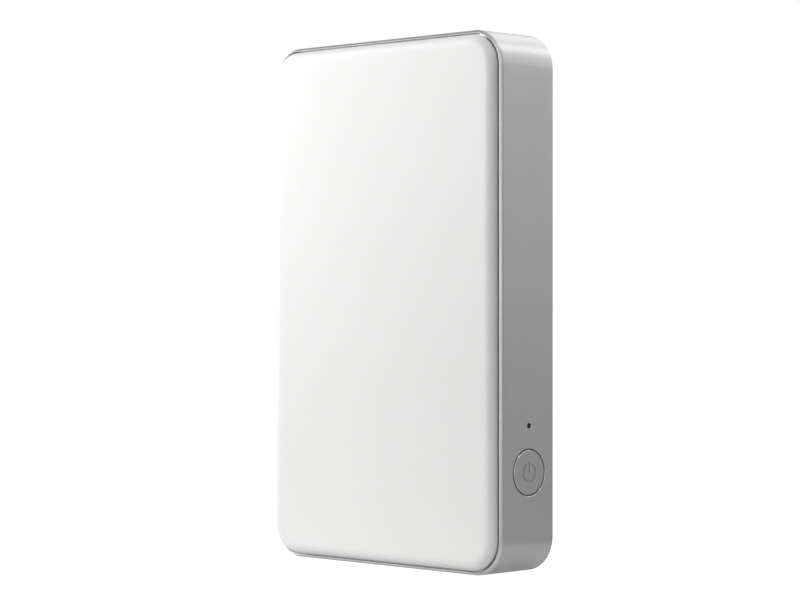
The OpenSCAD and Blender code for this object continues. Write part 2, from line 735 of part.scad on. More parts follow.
module pressure_plate() {
    top_z = bay_top - 0.6;
    low_z = hinge_z + 1.5;
    color([0.68, 0.69, 0.71]) difference() {
        union() {
            block([-plate_half, plate_back_y, low_z], [plate_half, plate_back_y + plate_t, top_z]);
            for (x = [-1, 1]) translate([x * knuckle_x, 0, 0]) {
                rod_x(-knuckle_len / 2, knuckle_len / 2, [hinge_y, hinge_z], knuckle_r);
                block([-knuckle_len / 2, plate_back_y, hinge_z],
                      [knuckle_len / 2, plate_back_y + plate_t, low_z]);
            }
        }
        rod_x(-lug_half, lug_half, [hinge_y, hinge_z], hinge_pin_r + running_gap);
        for (x = [-1, 1], z = [0.35, 0.6]) front_slot(x * 16, low_z + z * (top_z - low_z), 4, 14);
    }
}

// A lightening slot through the pressure plate
module front_slot(x, z, w, h) {
    translate([x, 0, z]) front_slab(plate_back_y - over, plate_back_y + plate_t + over)
        round_box(w, h, w / 2 - 0.1);
}

module pressure_pad() {
    pad_y = plate_back_y + plate_t;
    color([0.45, 0.36, 0.26]) front_slab(pad_y, pad_y + 0.3) translate([0, pickup_z])
        round_box(pad_w, pad_h, 1);
}

// ---------- Mechanism ----------

module mechanism_frame() {
    color([0.7, 0.71, 0.73]) difference() {
        union() {
            side_slab(-cheek_out, -cheek_in) cheek_shape(left_cheek_low_z);
            side_slab(cheek_in, cheek_out) cheek_shape(right_cheek_low_z);
            block([-cheek_out, base_y - sheet_t, mount_z - 3], [cheek_out, base_y, base_top_z]);
            block([ear_x - ear_half, base_y - sheet_t, right_cheek_low_z],
                  [cheek_out, base_y, ear_z + ear_half]);
        }
        for (at = [pickup_at, feed_at, platen_at]) rod_x(-cheek_out - over, cheek_out + over, at, bush_r);
        rod_x(-cheek_out - over, cheek_out + over, [pinch_y, feed_z], pinch_journal_r + running_gap);
        rod_x(-cheek_out - over, cheek_out + over, [pivot_y, pivot_z], pivot_rod_r);
        rod_x(cheek_in - over, cheek_out + over, motor_at, motor_boss_r + slack / 2);
        for (at = motor_screw_at) rod_x(cheek_in - over, cheek_out + over, at, motor_screw_r);
        for (at = [upper_idler_at, lower_idler_at, second_at, first_at])
            rod_x(cheek_in - over, cheek_out + over, at, post_r);
        for (at = mounts) rod_y(base_y - sheet_t - over, base_y + over, at[0], at[1], screw_r);
        for (x = [-1, 0, 1]) translate([x * 14, 0, (feed_z + platen_z) / 2 + 1])
            front_slab(base_y - sheet_t - over, base_y + over) round_box(9, 12, 2);
        block([-cheek_out - over, cheek_front_y - over, pivot_z - 8.2],
              [-cheek_in + over, sink_y + 0.5, pivot_z - 2.4]);
    }
}

// Side view of one cheek, with a tab in front that carries the spring stay
module cheek_shape(low_z) {
    translate([cheek_front_y, low_z]) square([base_y - cheek_front_y, mount_z + 3 - low_z]);
    translate([cheek_front_y, mount_z]) square([base_y - cheek_front_y, base_top_z - mount_z]);
    translate([cheek_front_y, platen_z]) square([motor_y - cheek_front_y, cheek_top_z - platen_z]);
    translate([stay_y + stay_t, stay_z - stay_h / 2]) square([cheek_front_y - stay_y, stay_h]);
}

module roller_bushes() {
    color([0.78, 0.62, 0.34]) for (side = [0, 1], at = [pickup_at, feed_at, platen_at])
        mirror([side, 0, 0]) difference() {
            union() {
                rod_x(cheek_in - bush_flange_t, bush_end_x, at, bush_r);
                rod_x(cheek_in - bush_flange_t, cheek_in, at, bush_flange_r);
            }
            rod_x(cheek_in - over, bush_end_x + over, at, shaft_r + running_gap);
        }
}

module gear_posts() {
    color([0.7, 0.7, 0.72]) {
        for (at = [upper_idler_at, lower_idler_at]) gear_post(at, 0, 0);
        gear_post(second_at, 0, 1);
        gear_post(first_at, 1, 2);
    }
}

// A shouldered post riveted in the right cheek, with a head that keeps its gear on
module gear_post(at, lowest, highest) {
    end_x = layer_x[highest] + gear_t + 0.05;
    rod_x(cheek_in, end_x, at, post_r);
    rod_x(cheek_out, layer_x[lowest] - 0.1, at, post_head_r);
    rod_x(end_x, end_x + post_head_t - 0.05, at, post_head_r - 0.2);
}

module mechanism_screws() {
    color([0.45, 0.45, 0.47]) for (at = mounts) {
        rod_y(base_y, base_y + 0.55, at[0], at[1], screw_head_r);
        rod_y(base_y - 5.5, base_y, at[0], at[1], screw_r);
    }
}

module paper_guide() {
    low_z = feed_z + 4;
    top_z = platen_z - 4.4;
    color([0.16, 0.16, 0.17]) union() {
        guide_plate(low_z, top_z);
        for (x = [-1, 0, 1])
            block([x * 16 - 0.5, paper_y + 1.4, low_z + 0.4], [x * 16 + 0.5, paper_y + 2.6, top_z - 0.4]);
    }
}

module exit_guide() {
    color([0.16, 0.16, 0.17]) guide_plate(platen_z + 4.6, cheek_top_z - 3.6);
}

// A ribbed plate behind the sheet's path, held between the cheeks
module guide_plate(z0, z1) {
    block([-cheek_in + slack, paper_y + 0.6, z0], [cheek_in - slack, paper_y + 1.4, z1]);
    for (x = [-2:2]) block([x * 10 - 0.4, paper_y + 0.35, z0], [x * 10 + 0.4, paper_y + 0.7, z1]);
}

module spring_stay() {
    color([0.7, 0.71, 0.73]) difference() {
        block([-cheek_out, stay_y, stay_z - stay_h / 2], [cheek_out, stay_y + stay_t, stay_z + stay_h / 2]);
        for (x = [-1, 1]) translate([x * 5, 0, stay_z]) front_slab(stay_y - over, stay_y + stay_t + over)
            round_box(7, 2.4, 1);
    }
}

module head_springs() {
    color([0.75, 0.75, 0.76]) for (x = [-1, 1])
        coil(stay_y + stay_t + 0.02, sink_y - sink_t - 0.02, x * head_spring_x, stay_z,
             head_spring_r, 0.16, 3);
}

module head_pivot_rod() {
    color([0.7, 0.7, 0.72]) rod_x(-cheek_out, cheek_out, [pivot_y, pivot_z], pivot_rod_r);
}

module head_heat_sink() {
    front_y = sink_y - sink_t;
    color([0.75, 0.76, 0.78]) difference() {
        union() {
            block([-head_half, front_y, sink_low_z], [head_half, sink_y, pivot_z]);
            rod_x(-head_half, head_half, [pivot_y, pivot_z], pivot_boss_r);
        }
        rod_x(-head_half - over, head_half + over, [pivot_y, pivot_z], pivot_rod_r + running_gap);
        for (z = [0:3]) block([-head_half - over, front_y - over, stay_z + stay_h / 2 + 0.8 + 1.8 * z],
                              [head_half + over, front_y + 0.9, stay_z + stay_h / 2 + 1.8 + 1.8 * z]);
    }
}

module thermal_head() {
    half = head_half - 0.6;
    color([0.86, 0.84, 0.78]) union() {
        block([-half, sink_y, platen_z - 4.6], [half, ceramic_y, platen_z + 5]);
        block([-half, ceramic_y, platen_z - 0.35], [half, ceramic_y + 0.08, platen_z + 0.35]);
    }
}

// ---------- Rollers and gears that turn ----------

module roller_shaft(at) {
    rod_x(-shaft_tail_x, layer_x[0] + gear_t + 0.3, at, shaft_r);
}

module sleeve(x0, x1, at, r) {
    difference() {
        rod_x(x0, x1, at, r);
        rod_x(x0 - over, x1 + over, at, shaft_r);
    }
}

module platen_shaft() {
    color([0.72, 0.72, 0.74]) roller_shaft(platen_at);
}

module platen_rubber() {
    color([0.1, 0.1, 0.1]) sleeve(-paper_w / 2 - 0.2, paper_w / 2 + 0.2, platen_at, platen_r);
}

module platen_gear() {
    color([0.9, 0.9, 0.88]) roller_gear(platen_at, platen_phase);
}

module feed_shaft() {
    color([0.72, 0.72, 0.74]) roller_shaft(feed_at);
}

module feed_rubber() {
    color([0.12, 0.12, 0.12]) for (x = [-sleeve_x, 0, sleeve_x])
        sleeve(x - sleeve_w / 2, x + sleeve_w / 2, feed_at, feed_r);
}

module feed_gear() {
    color([0.9, 0.9, 0.88]) roller_gear(feed_at, feed_phase);
}

module pinch_roller() {
    at = [pinch_y, feed_z];
    color([0.78, 0.78, 0.8]) union() {
        rod_x(-cheek_out - 0.5, cheek_out + 0.3, at, pinch_journal_r);
        for (x = [-sleeve_x, 0, sleeve_x])
            rod_x(x - sleeve_w / 2 - 0.5, x + sleeve_w / 2 + 0.5, at, pinch_r);
    }
}

module pickup_shaft() {
    color([0.72, 0.72, 0.74]) roller_shaft(pickup_at);
}

module pickup_tyres() {
    color([0.12, 0.12, 0.12]) for (x = [-1, 1])
        sleeve(x * tyre_x - tyre_w / 2, x * tyre_x + tyre_w / 2, pickup_at, pickup_r);
}

module pickup_gear() {
    color([0.9, 0.9, 0.88]) roller_gear(pickup_at, pickup_phase);
}

module idler_gear(at, phase) {
    color([0.9, 0.9, 0.88]) gear(idler_teeth, phase, at, 0, post_r + running_gap);
}

// Two gears moulded as one, in neighbouring layers
module double_gear(at, inner_teeth, outer_teeth, phase, layer) {
    color([0.9, 0.9, 0.88]) difference() {
        union() {
            gear(inner_teeth, phase, at, layer, post_r / 2);
            gear(outer_teeth, phase, at, layer + 1, post_r / 2);
            rod_x(layer_x[layer], layer_x[layer + 1] + gear_t, at, pitch_r(inner_teeth) - 0.8);
        }
        gear_recess(outer_teeth, at, layer + 1, 2.2);
        rod_x(layer_x[layer] - over, layer_x[layer + 1] + gear_t + over, at, post_r + running_gap);
    }
}

// ---------- Motor ----------

module motor_can() {
    color([0.66, 0.67, 0.69]) difference() {
        union() {
            intersection() {
                rod_x(cheek_in - motor_l, cheek_in, motor_at, motor_r);
                block([0, motor_y - motor_flat, 0], [body_w, motor_y + motor_flat, body_h]);
            }
            rod_x(cheek_in - over, cheek_in - over + motor_boss_l + over, motor_at, motor_boss_r);
        }
        rod_x(cheek_in - motor_l / 2, cheek_out + 2 * over, motor_at, motor_shaft_r + running_gap);
        for (at = motor_screw_at) rod_x(cheek_in - 2, cheek_in + over, at, motor_screw_r);
    }
}

module motor_screws() {
    color([0.45, 0.45, 0.47]) for (at = motor_screw_at) {
        rod_x(cheek_out, cheek_out + 0.5, at, 1.2);
        rod_x(cheek_in - 1.8, cheek_out, at, motor_screw_r);
    }
}

module motor_shaft() {
    color([0.72, 0.72, 0.74])
        rod_x(cheek_in - motor_l / 2 + 0.5, layer_x[2] + gear_t, motor_at, motor_shaft_r);
}

module motor_pinion() {
    color([0.78, 0.62, 0.34]) gear(pinion_teeth, pinion_phase, motor_at, 2, motor_shaft_r);
}

// ---------- Electronics ----------

// Flat cable from the head, out past the left cheek, down to its socket on the main board
module head_flat_cable() {
    cable_y = sink_y - 0.6;
    color([0.72, 0.45, 0.2]) union() {
        block([cable_x, cable_y - cable_t, cable_low_z], [-head_half - 0.4, cable_y, cable_high_z]);
        block([cable_x - cable_t, cable_y - cable_t, socket_z + 1],
              [cable_x, cable_y + 2 * cable_half, cable_high_z]);
    }
}

module paper_sensor() {
    color([0.08, 0.08, 0.08])
        block([sensor_x - 2, floor_back_y, sensor_z - 1.7],
              [sensor_x + 2, floor_back_y + 1.3, sensor_z + 1.7]);
}

module battery_pack() {
    color([0.12, 0.2, 0.42]) translate([battery_x + battery_w / 2, 0, battery_z + battery_h / 2])
        front_slab(battery_y, battery_y + battery_t) round_box(battery_w, battery_h, 1.6);
}

module battery_wires() {
    color([0.7, 0.12, 0.1]) for (x = wire_x)
        rod_z(board_top_z - socket_edge - wire_depth, battery_z, x, wire_y, wire_r);
}

module main_board() {
    color([0.05, 0.3, 0.16]) difference() {
        front_slab(board_y, board_y + board_t) {
            translate([0, (board_low_z + board_top_z) / 2])
                round_box(2 * board_half, board_top_z - board_low_z, board_corner_r);
        }
        for (x = [-1, 1]) {
            for (z = [post_low_z, post_high_z])
                rod_y(board_y - over, board_y + board_t + over, x * post_x, z, screw_r + 0.15);
            rod_y(board_y - over, board_y + board_t + over, x * case_screw_x, case_screw_low_z,
                  boss_r + 0.3);
        }
    }
}

// A package on the main board's back (side 1) or front (side -1). Across, its place and size are shares of
// the board's half width, and upwards of the room under the sockets. Its height is in board thicknesses
module chip(x, z, w, h, t, side) {
    y = side > 0 ? board_y + board_t : board_y - t * board_t;
    block([(x - w / 2) * board_half, y, board_low_z + (z - h / 2) * chip_room],
          [(x + w / 2) * board_half, y + t * board_t, board_low_z + (z + h / 2) * chip_room]);
}

module board_chips() {
    color([0.07, 0.07, 0.08]) {
        chip(-0.016, 0.556, 0.344, 0.375, 1.1, 1);
        chip(0.406, 0.539, 0.25, 0.273, 0.9, 1);
        chip(0.719, 0.863, 0.188, 0.17, 1, 1);
        chip(0.359, 0.829, 0.219, 0.239, 1.2, -1);
        chip(-0.375, 0.403, 0.188, 0.205, 1.1, -1);
        chip(reset_x / board_half, 0.034, 0.094, 0.068, 2.2, -1);
    }
}

module board_shield() {
    color([0.75, 0.75, 0.77]) chip(-0.438, 0.608, 0.313, 0.41, 1.8, 1);
}

// Cable sockets: battery, motor, head
module board_connectors() {
    back = board_y + board_t;
    high_z = board_top_z - socket_edge;
    color([0.9, 0.88, 0.8]) {
        difference() {
            for (x = [(wire_x[0] + wire_x[1]) / 2, -reset_x + socket_w / 2])
                block([x - socket_w / 2, back, high_z - socket_h],
                      [x + socket_w / 2, back + socket_t, high_z]);
            for (x = wire_x) rod_z(high_z - wire_depth, board_top_z, x, wire_y, wire_r);
        }
        difference() {
            block([cable_x - 1.3, board_y - 6.5, socket_z], [cable_x + 1.4, board_y, high_z]);
            block([cable_x - cable_t, board_y - 7.5, socket_z + 1],
                  [cable_x, sink_y - 0.6 + 2 * cable_half + slack, board_top_z]);
        }
    }
}

module board_screws() {
    top = board_y + board_t;
    color([0.45, 0.45, 0.47]) for (x = [-1, 1], z = [post_low_z, post_high_z]) {
        rod_y(top, top + 0.6, x * post_x, z, screw_head_r);
        rod_y(top - 4, top, x * post_x, z, screw_r);
    }
}

module usb_socket() {
    low_z = chassis_inset + 0.3;
    color([0.75, 0.75, 0.77]) translate([0, usb_y, low_z]) {
        difference() {
            linear_extrude(usb_l) round_box(usb_w, usb_t, 0.7);
            translate([0, 0, -over]) linear_extrude(usb_l + over - usb_wall)
                round_box(usb_w - 2 * usb_wall, usb_t - 2 * usb_wall, 0.4);
        }
        translate([-usb_w / 2 + 1.4, -0.4, 0.6]) cube([usb_w - 2.8, 0.7, usb_l - 0.6 - usb_wall / 2]);
    }
}

module charge_lens() {
    color([0.95, 0.95, 0.9]) union() {
        rod_z(0.1, board_low_z + 0.6, charge_x, usb_y, pin_hole_r - 0.04);
        block([charge_x - 1, usb_y - 0.8, board_low_z + 0.6], [charge_x + 1, board_y, board_low_z + 2.4]);
    }
}

module button_board() {
    color([0.05, 0.3, 0.16])
        block([side_board_x, button_y - side_board_half, side_board_low_z],
              [side_board_x + side_board_t, button_y + side_board_half, side_board_high_z]);
}

module power_switch() {
    top_x = side_board_x + side_board_t;
    color([0.1, 0.1, 0.11]) union() {
        block([top_x, button_y - 2.2, button_z - 2.2], [top_x + switch_t, button_y + 2.2, button_z + 2.2]);
        rod_x(top_x + switch_t, top_x + switch_t + plunger_t, [button_y, button_z], plunger_r);
    }
}

module lamp_lens() {
    top_x = side_board_x + side_board_t;
    color([0.1, 0.1, 0.1]) union() {
        block([top_x, button_y - 0.8, lamp_z - 0.8], [top_x + 0.6, button_y + 0.8, lamp_z + 0.8]);
        rod_x(top_x + 0.6, half_w - 0.12, [button_y, lamp_z], lamp_r - 0.03);
    }
}

module power_button() {
    color([0.6, 0.6, 0.61]) difference() {
        union() {
            rod_x(button_inner_x, half_w - cap_bevel, [button_y, button_z], button_r);
            translate([half_w - cap_bevel, button_y, button_z]) rotate([0, 90, 0])
                cylinder(h = cap_bevel, r1 = button_r, r2 = button_r - cap_bevel);
            rod_x(button_inner_x, button_inner_x + flange_t, [button_y, button_z], flange_r);
        }
        power_sign();
    }
}

// The ring with its opening and the upright stroke, cut into the button's face
module power_sign() {
    side_slab(half_w - icon_depth, half_w + over) translate([button_y, button_z]) {
        difference() {
            circle(icon_r + icon_line / 2);
            circle(icon_r - icon_line / 2);
            polygon([[0, 0], 4 * icon_r * [sin(icon_gap_half), cos(icon_gap_half)],
                     4 * icon_r * [-sin(icon_gap_half), cos(icon_gap_half)]]);
        }
        translate([-icon_line / 2, 0.1]) square([icon_line, icon_r + 0.25]);
    }
}

// ---------- One node at a time ----------

side_frame();
back_cover();
back_cover_screws();
rubber_feet();
chassis();
paper_tray();
keeper_magnets();
exit_bezel();
front_cover();
cover_liner();
cover_magnets();
hinge_pin();
plate_springs();
pressure_plate();
pressure_pad();
mechanism_frame();
roller_bushes();
gear_posts();
mechanism_screws();
paper_guide();
exit_guide();
spring_stay();
head_springs();
head_pivot_rod();
head_heat_sink();
thermal_head();
platen_shaft();
platen_rubber();
platen_gear();
feed_shaft();
feed_rubber();
feed_gear();
pinch_roller();
pickup_shaft();
pickup_tyres();
pickup_gear();
idler_gear(upper_idler_at, upper_idler_phase);  // upper_idler_gear
idler_gear(lower_idler_at, lower_idler_phase);  // lower_idler_gear
double_gear(second_at, idler_teeth, second_teeth, second_phase, 0);  // second_reduction_gear
double_gear(first_at, pinion_teeth, first_teeth, first_phase, 1);  // first_reduction_gear
motor_can();
motor_screws();
motor_shaft();
motor_pinion();
head_flat_cable();
paper_sensor();
battery_pack();
battery_wires();
main_board();
board_chips();
board_shield();
board_connectors();
board_screws();
usb_socket();
charge_lens();
button_board();
power_switch();
lamp_lens();
power_button();
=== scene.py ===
"""Dresses the compact photo printer and sets it in a plain studio.

Sizes are in millimetres in the part's own frame, with X to the right as seen from the front cover, Y out of
the back cover and Z up. Meshes are made in metres.
"""

import logging
import math
from collections.abc import Iterable, Sequence
from dataclasses import dataclass, field
from enum import Enum
from typing import ClassVar

import bmesh
import bpy
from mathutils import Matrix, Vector


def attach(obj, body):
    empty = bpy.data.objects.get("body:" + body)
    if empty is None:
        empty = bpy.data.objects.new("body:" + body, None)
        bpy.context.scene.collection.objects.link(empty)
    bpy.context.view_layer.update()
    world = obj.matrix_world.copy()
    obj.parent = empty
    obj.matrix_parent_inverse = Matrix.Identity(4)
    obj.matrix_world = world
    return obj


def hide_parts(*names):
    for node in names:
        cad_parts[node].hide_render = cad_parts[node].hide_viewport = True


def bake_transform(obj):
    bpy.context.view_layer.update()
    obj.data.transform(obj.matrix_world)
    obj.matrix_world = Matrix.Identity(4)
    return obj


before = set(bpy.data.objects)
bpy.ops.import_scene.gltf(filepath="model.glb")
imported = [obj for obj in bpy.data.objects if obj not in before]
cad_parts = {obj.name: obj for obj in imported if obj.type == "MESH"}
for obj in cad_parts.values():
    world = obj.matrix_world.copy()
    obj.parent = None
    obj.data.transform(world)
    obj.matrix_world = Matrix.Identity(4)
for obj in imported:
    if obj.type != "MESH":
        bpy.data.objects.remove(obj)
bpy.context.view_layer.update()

MM = 0.001
OVER = 0.1  # How far a cutter stands out of what it cuts, in millimetres.
LOG = logging.getLogger("printer")

Colour = tuple[float, float, float]
Point = tuple[float, float, float]
Pair = tuple[float, float]
Socket = bpy.types.NodeSocket
WHITE: Colour = (1.0, 1.0, 1.0)


class Body(Enum):
    """The moving bodies that a new piece can ride on."""

    CASE = "case"
    COVER = "cover"
    PLATE = "plate"
    BUTTON = "button"
    HEAD = "head"


class Slot(Enum):
    """The finishes that the part's record names."""

    ALUMINIUM = "aluminium_satin"
    WHITE_PLASTIC = "white_plastic"
    BLACK_PLASTIC = "black_plastic"
    SCREW = "screw_steel"
    FOOT = "rubber_foot"
    SPRING = "spring_steel"
    SHEET = "plate_steel"
    BATTERY = "battery_wrap"
    CHIP = "black_component"


class Axis(Enum):
    """A direction along which a surface is brushed or turned."""

    X = (1.0, 0.0, 0.0)
    Y = (0.0, 1.0, 0.0)
    Z = (0.0, 0.0, 1.0)

    def point(self, centre: Point, radius: float, turn: float, along: float) -> Point:
        """Finds a point about this axis.

        Args:
            centre: A point on the axis.
            radius: The distance from the axis.
            turn: The angle round the axis in radians.
            along: The distance along the axis from the centre.

        Returns:
            The point.
        """
        first, second = radius * math.cos(turn), radius * math.sin(turn)
        local = {
            "X": (along, first, second),
            "Y": (first, along, second),
            "Z": (first, second, along),
        }[self.name]
        return tuple(base + part for base, part in zip(centre, local))


# ---------- Shader nodes ----------


class Wiring:
    """Adds nodes to one shader tree and joins them."""

    def __init__(self, tree: bpy.types.NodeTree) -> None:
        """Keeps the tree that the nodes go into."""
        self.tree = tree

    def feed(self, socket: Socket, value: object) -> None:
        """Joins a socket to another one, or gives it a plain value.

        Args:
            socket: The input to set.
            value: An output socket, a number or a tuple.
        """
        if isinstance(value, Socket):
            self.tree.links.new(value, socket)
        elif isinstance(value, tuple) and socket.type == "RGBA" and len(value) == 3:
            socket.default_value = (*value, 1.0)
        else:
            socket.default_value = value

    def node(self, kind: str, inputs: dict[str | int, object] | None = None,
             **settings: object) -> bpy.types.Node:
        """Adds one node.

        Args:
            kind: The node's type without its "ShaderNode" prefix.
            inputs: Values or sockets for its inputs, by name or number.
            **settings: The node's own properties.

        Returns:
            The new node.
        """
        made = self.tree.nodes.new("ShaderNode" + kind)
        for name, value in settings.items():
            setattr(made, name, value)
        for name, value in (inputs or {}).items():
            self.feed(made.inputs[name], value)
        return made

    def math(self, operation: str, first: object, second: object = 0.0) -> Socket:
        """Joins two values by an arithmetic operation.

        Args:
            operation: The Math node's operation.
            first: The first value or socket.
            second: The second value or socket.

        Returns:
            The result's socket.
        """
        return self.node("Math", {0: first, 1: second}, operation=operation).outputs[0]

    def vector(self, operation: str, first: object, second: object) -> Socket:
        """Joins two vectors.

        Args:
            operation: The Vector Math node's operation.
            first: The first vector or socket.
            second: The second vector or socket.

        Returns:
            The vector's socket, or the number's for a dot product.
        """
        made = self.node("VectorMath", {0: first, 1: second}, operation=operation)
        return made.outputs["Value" if operation in ("DOT_PRODUCT", "DISTANCE", "LENGTH") else "Vector"]

    def span(self, value: object, start: Pair, end: Pair = (0.0, 1.0)) -> Socket:
        """Carries a value from one range to another and holds it there.

        Args:
            value: The value or socket.
            start: The two ends of the range it has.
            end: The two ends of the range it gets.

        Returns:
            The result's socket.
        """
        inputs = {
            "Value": value,
            "From Min": start[0],
            "From Max": start[1],
            "To Min": end[0],
            "To Max": end[1],
        }
        return self.node("MapRange", inputs, clamp=True).outputs[0]

    def noise(self, vector: object, scale: object, detail: float = 2.0, rough: float = 0.5) -> Socket:
        """Adds a noise pattern.

        Args:
            vector: The coordinates.
            scale: Patterns per metre.
            detail: How many finer layers it has.
            rough: How strong the finer layers are.

        Returns:
            The pattern's socket, from 0 to 1.
        """
        inputs = {"Vector": vector, "Scale": scale, "Detail": detail, "Roughness": rough}
        return self.node("TexNoise", inputs).outputs[0]

    def blend(self, share: object, first: object, second: object) -> Socket:
        """Blends two numbers.

        Args:
            share: How much of the second one shows.
            first: The first value or socket.
            second: The second value or socket.

        Returns:
            The result's socket.
        """
        return self.node("Mix", {0: share, 2: first, 3: second}, data_type="FLOAT").outputs[0]

    def tint(self, share: object, first: object, second: object, how: str = "MIX") -> Socket:
        """Blends two colours.

        Args:
            share: How much of the second one shows.
            first: The first colour or socket.
            second: The second colour or socket.
            how: The blend type.

        Returns:
            The result's socket.
        """
        made = self.node("Mix", {0: share}, data_type="RGBA", blend_type=how)
        self.feed(made.inputs[6], first)
        self.feed(made.inputs[7], second)
        return made.outputs[2]


class Effect:
    """A shader node group with named sockets, built once and placed in each material with its own values.

    Attributes:
        title: The group's name.
        takes: Its inputs beside the vector, with their usual values.
        gives: The name of its output.
    """

    title: ClassVar[str] = ""
    takes: ClassVar[tuple[tuple[str, float], ...]] = ()
    gives: ClassVar[str] = "Mask"

    @classmethod
    def tree(cls) -> bpy.types.NodeTree:
        """Finds the group's tree, or builds it.

        Returns:
            The tree with its sockets and nodes.
        """
        found = bpy.data.node_groups.get(cls.title)
        if found:
            return found
        made = bpy.data.node_groups.new(cls.title, "ShaderNodeTree")
        made.interface.new_socket("Vector", in_out="INPUT", socket_type="NodeSocketVector")
        for name, usual in cls.takes:
            socket = made.interface.new_socket(name, in_out="INPUT", socket_type="NodeSocketFloat")
            socket.default_value = usual
        made.interface.new_socket(cls.gives, in_out="OUTPUT", socket_type="NodeSocketFloat")
        wiring = Wiring(made)
        source = made.nodes.new("NodeGroupInput")
        sink = made.nodes.new("NodeGroupOutput")
        wiring.feed(sink.inputs[0], cls.draw(wiring, source.outputs))
        return made

    @classmethod
    def draw(cls, wiring: Wiring, source: bpy.types.NodeOutputs) -> Socket:
        """Adds the group's nodes.

        Args:
            wiring: The group's wiring.
            source: The group's inputs.

        Returns:
            The socket that the group gives out.
        """
        raise NotImplementedError

    @classmethod
    def place(cls, wiring: Wiring, vector: Socket, **values: float) -> Socket:
        """Places the group in a material.

        Args:
            wiring: The material's wiring.
            vector: The coordinates.
            **values: The group's inputs, with underscores for spaces.

        Returns:
            The group's output.
        """
        made = wiring.tree.nodes.new("ShaderNodeGroup")
        made.node_tree = cls.tree()
        wiring.feed(made.inputs["Vector"], vector)
        for name, value in values.items():
            made.inputs[name.replace("_", " ")].default_value = value
        return made.outputs[0]


class Grain(Effect):
    """A fine even roughness, as bead blasting or a spark-eroded mould leaves.

    Attributes:
        coarse_share: The broader noise's scale as a share of the fine one's.
    """

    title = "Grain"
    takes = (("Scale", 5000.0), ("Coarse", 0.3))
    gives = "Height"
    coarse_share: ClassVar[float] = 0.21

    @classmethod
    def draw(cls, wiring: Wiring, source: bpy.types.NodeOutputs) -> Socket:
        """Blends a fine noise with a broader one.

        Args:
            wiring: The group's wiring.
            source: The group's inputs.

        Returns:
            The height's socket.
        """
        fine = wiring.noise(source["Vector"], source["Scale"], detail=2.0, rough=0.65)
        broad_scale = wiring.math("MULTIPLY", source["Scale"], cls.coarse_share)
        broad = wiring.noise(source["Vector"], broad_scale, detail=1.0, rough=0.5)
        return wiring.blend(source["Coarse"], fine, broad)


class Clouds(Effect):
    """Slow uneven patches, for colour that isn't quite even and for the marks of hands.

    Attributes:
        bend: How far the second noise moves the first one, in metres.
        patch: The noise where a patch starts and where it is full.
    """

    title = "Clouds"
    takes = (("Scale", 40.0), ("Contrast", 0.5))
    bend: ClassVar[float] = 0.012
    patch: ClassVar[Pair] = (0.32, 0.68)

    @classmethod
    def draw(cls, wiring: Wiring, source: bpy.types.NodeOutputs) -> Socket:
        """Draws a broad noise that is bent by a second one.

        Args:
            wiring: The group's wiring.
            source: The group's inputs.

        Returns:
            The mask's socket.
        """
        bend = wiring.node("TexNoise", {"Vector": source["Vector"], "Scale": source["Scale"]}).outputs[1]
        small = wiring.vector("SCALE", bend, (0.0, 0.0, 0.0))
        small.node.inputs["Scale"].default_value = cls.bend
        moved = wiring.vector("ADD", source["Vector"], small)
        patches = wiring.span(wiring.noise(moved, source["Scale"], detail=3.0, rough=0.55), cls.patch)
        return wiring.math("MULTIPLY", patches, source["Contrast"])


class EdgeWear(Effect):
    """Broken lines along a piece's edges, where handling rubs a finish thin.

    Attributes:
        samples: How many rays the rounded normal takes.
        sharp: How alike the plain and the rounded normal are where wear starts and where it is full.
        patch: The noise where the line is weak and where it is full.
        weak: What is left of the line where it is weak.
    """

    title = "Edge wear"
    takes = (("Radius", 0.0003), ("Amount", 0.5), ("Patch Scale", 260.0))
    samples: ClassVar[int] = 4
    sharp: ClassVar[Pair] = (0.99, 0.86)
    patch: ClassVar[Pair] = (0.4, 0.62)
    weak: ClassVar[float] = 0.25

    @classmethod
    def draw(cls, wiring: Wiring, source: bpy.types.NodeOutputs) -> Socket:
        """Compares the surface's normal with a rounded one and breaks the line up.

        Args:
            wiring: The group's wiring.
            source: The group's inputs.

        Returns:
            The mask's socket.
        """
        rounded = wiring.node("Bevel", {"Radius": source["Radius"]}, samples=cls.samples).outputs[0]
        plain = wiring.node("NewGeometry").outputs["Normal"]
        edge = wiring.span(wiring.vector("DOT_PRODUCT", rounded, plain), cls.sharp)
        noise = wiring.noise(source["Vector"], source["Patch Scale"], detail=3.0, rough=0.6)
        patches = wiring.span(noise, cls.patch, (cls.weak, 1.0))
        return wiring.math("MULTIPLY", wiring.math("MULTIPLY", edge, patches), source["Amount"])


class Dust(Effect):
    """A thin fall of dust on what faces up.

    Attributes:
        upward: The upward share of the normal where dust starts to lie and where it is full.
        speck: The noise where a speck starts and where it is full.
    """

    title = "Dust"
    takes = (("Scale", 900.0), ("Amount", 0.1))
    upward: ClassVar[Pair] = (0.2, 1.0)
    speck: ClassVar[Pair] = (0.42, 0.66)

    @classmethod
    def draw(cls, wiring: Wiring, source: bpy.types.NodeOutputs) -> Socket:
        """Takes the upward share of the normal and speckles it.

        Args:
            wiring: The group's wiring.
            source: The group's inputs.

        Returns:
            The mask's socket.
        """
        normal = wiring.node("NewGeometry").outputs["Normal"]
        upward = wiring.span(wiring.node("SeparateXYZ", {0: normal}).outputs["Z"], cls.upward)
        noise = wiring.noise(source["Vector"], source["Scale"], detail=4.0, rough=0.7)
        specks = wiring.span(noise, cls.speck)
        return wiring.math("MULTIPLY", wiring.math("MULTIPLY", upward, specks), source["Amount"])


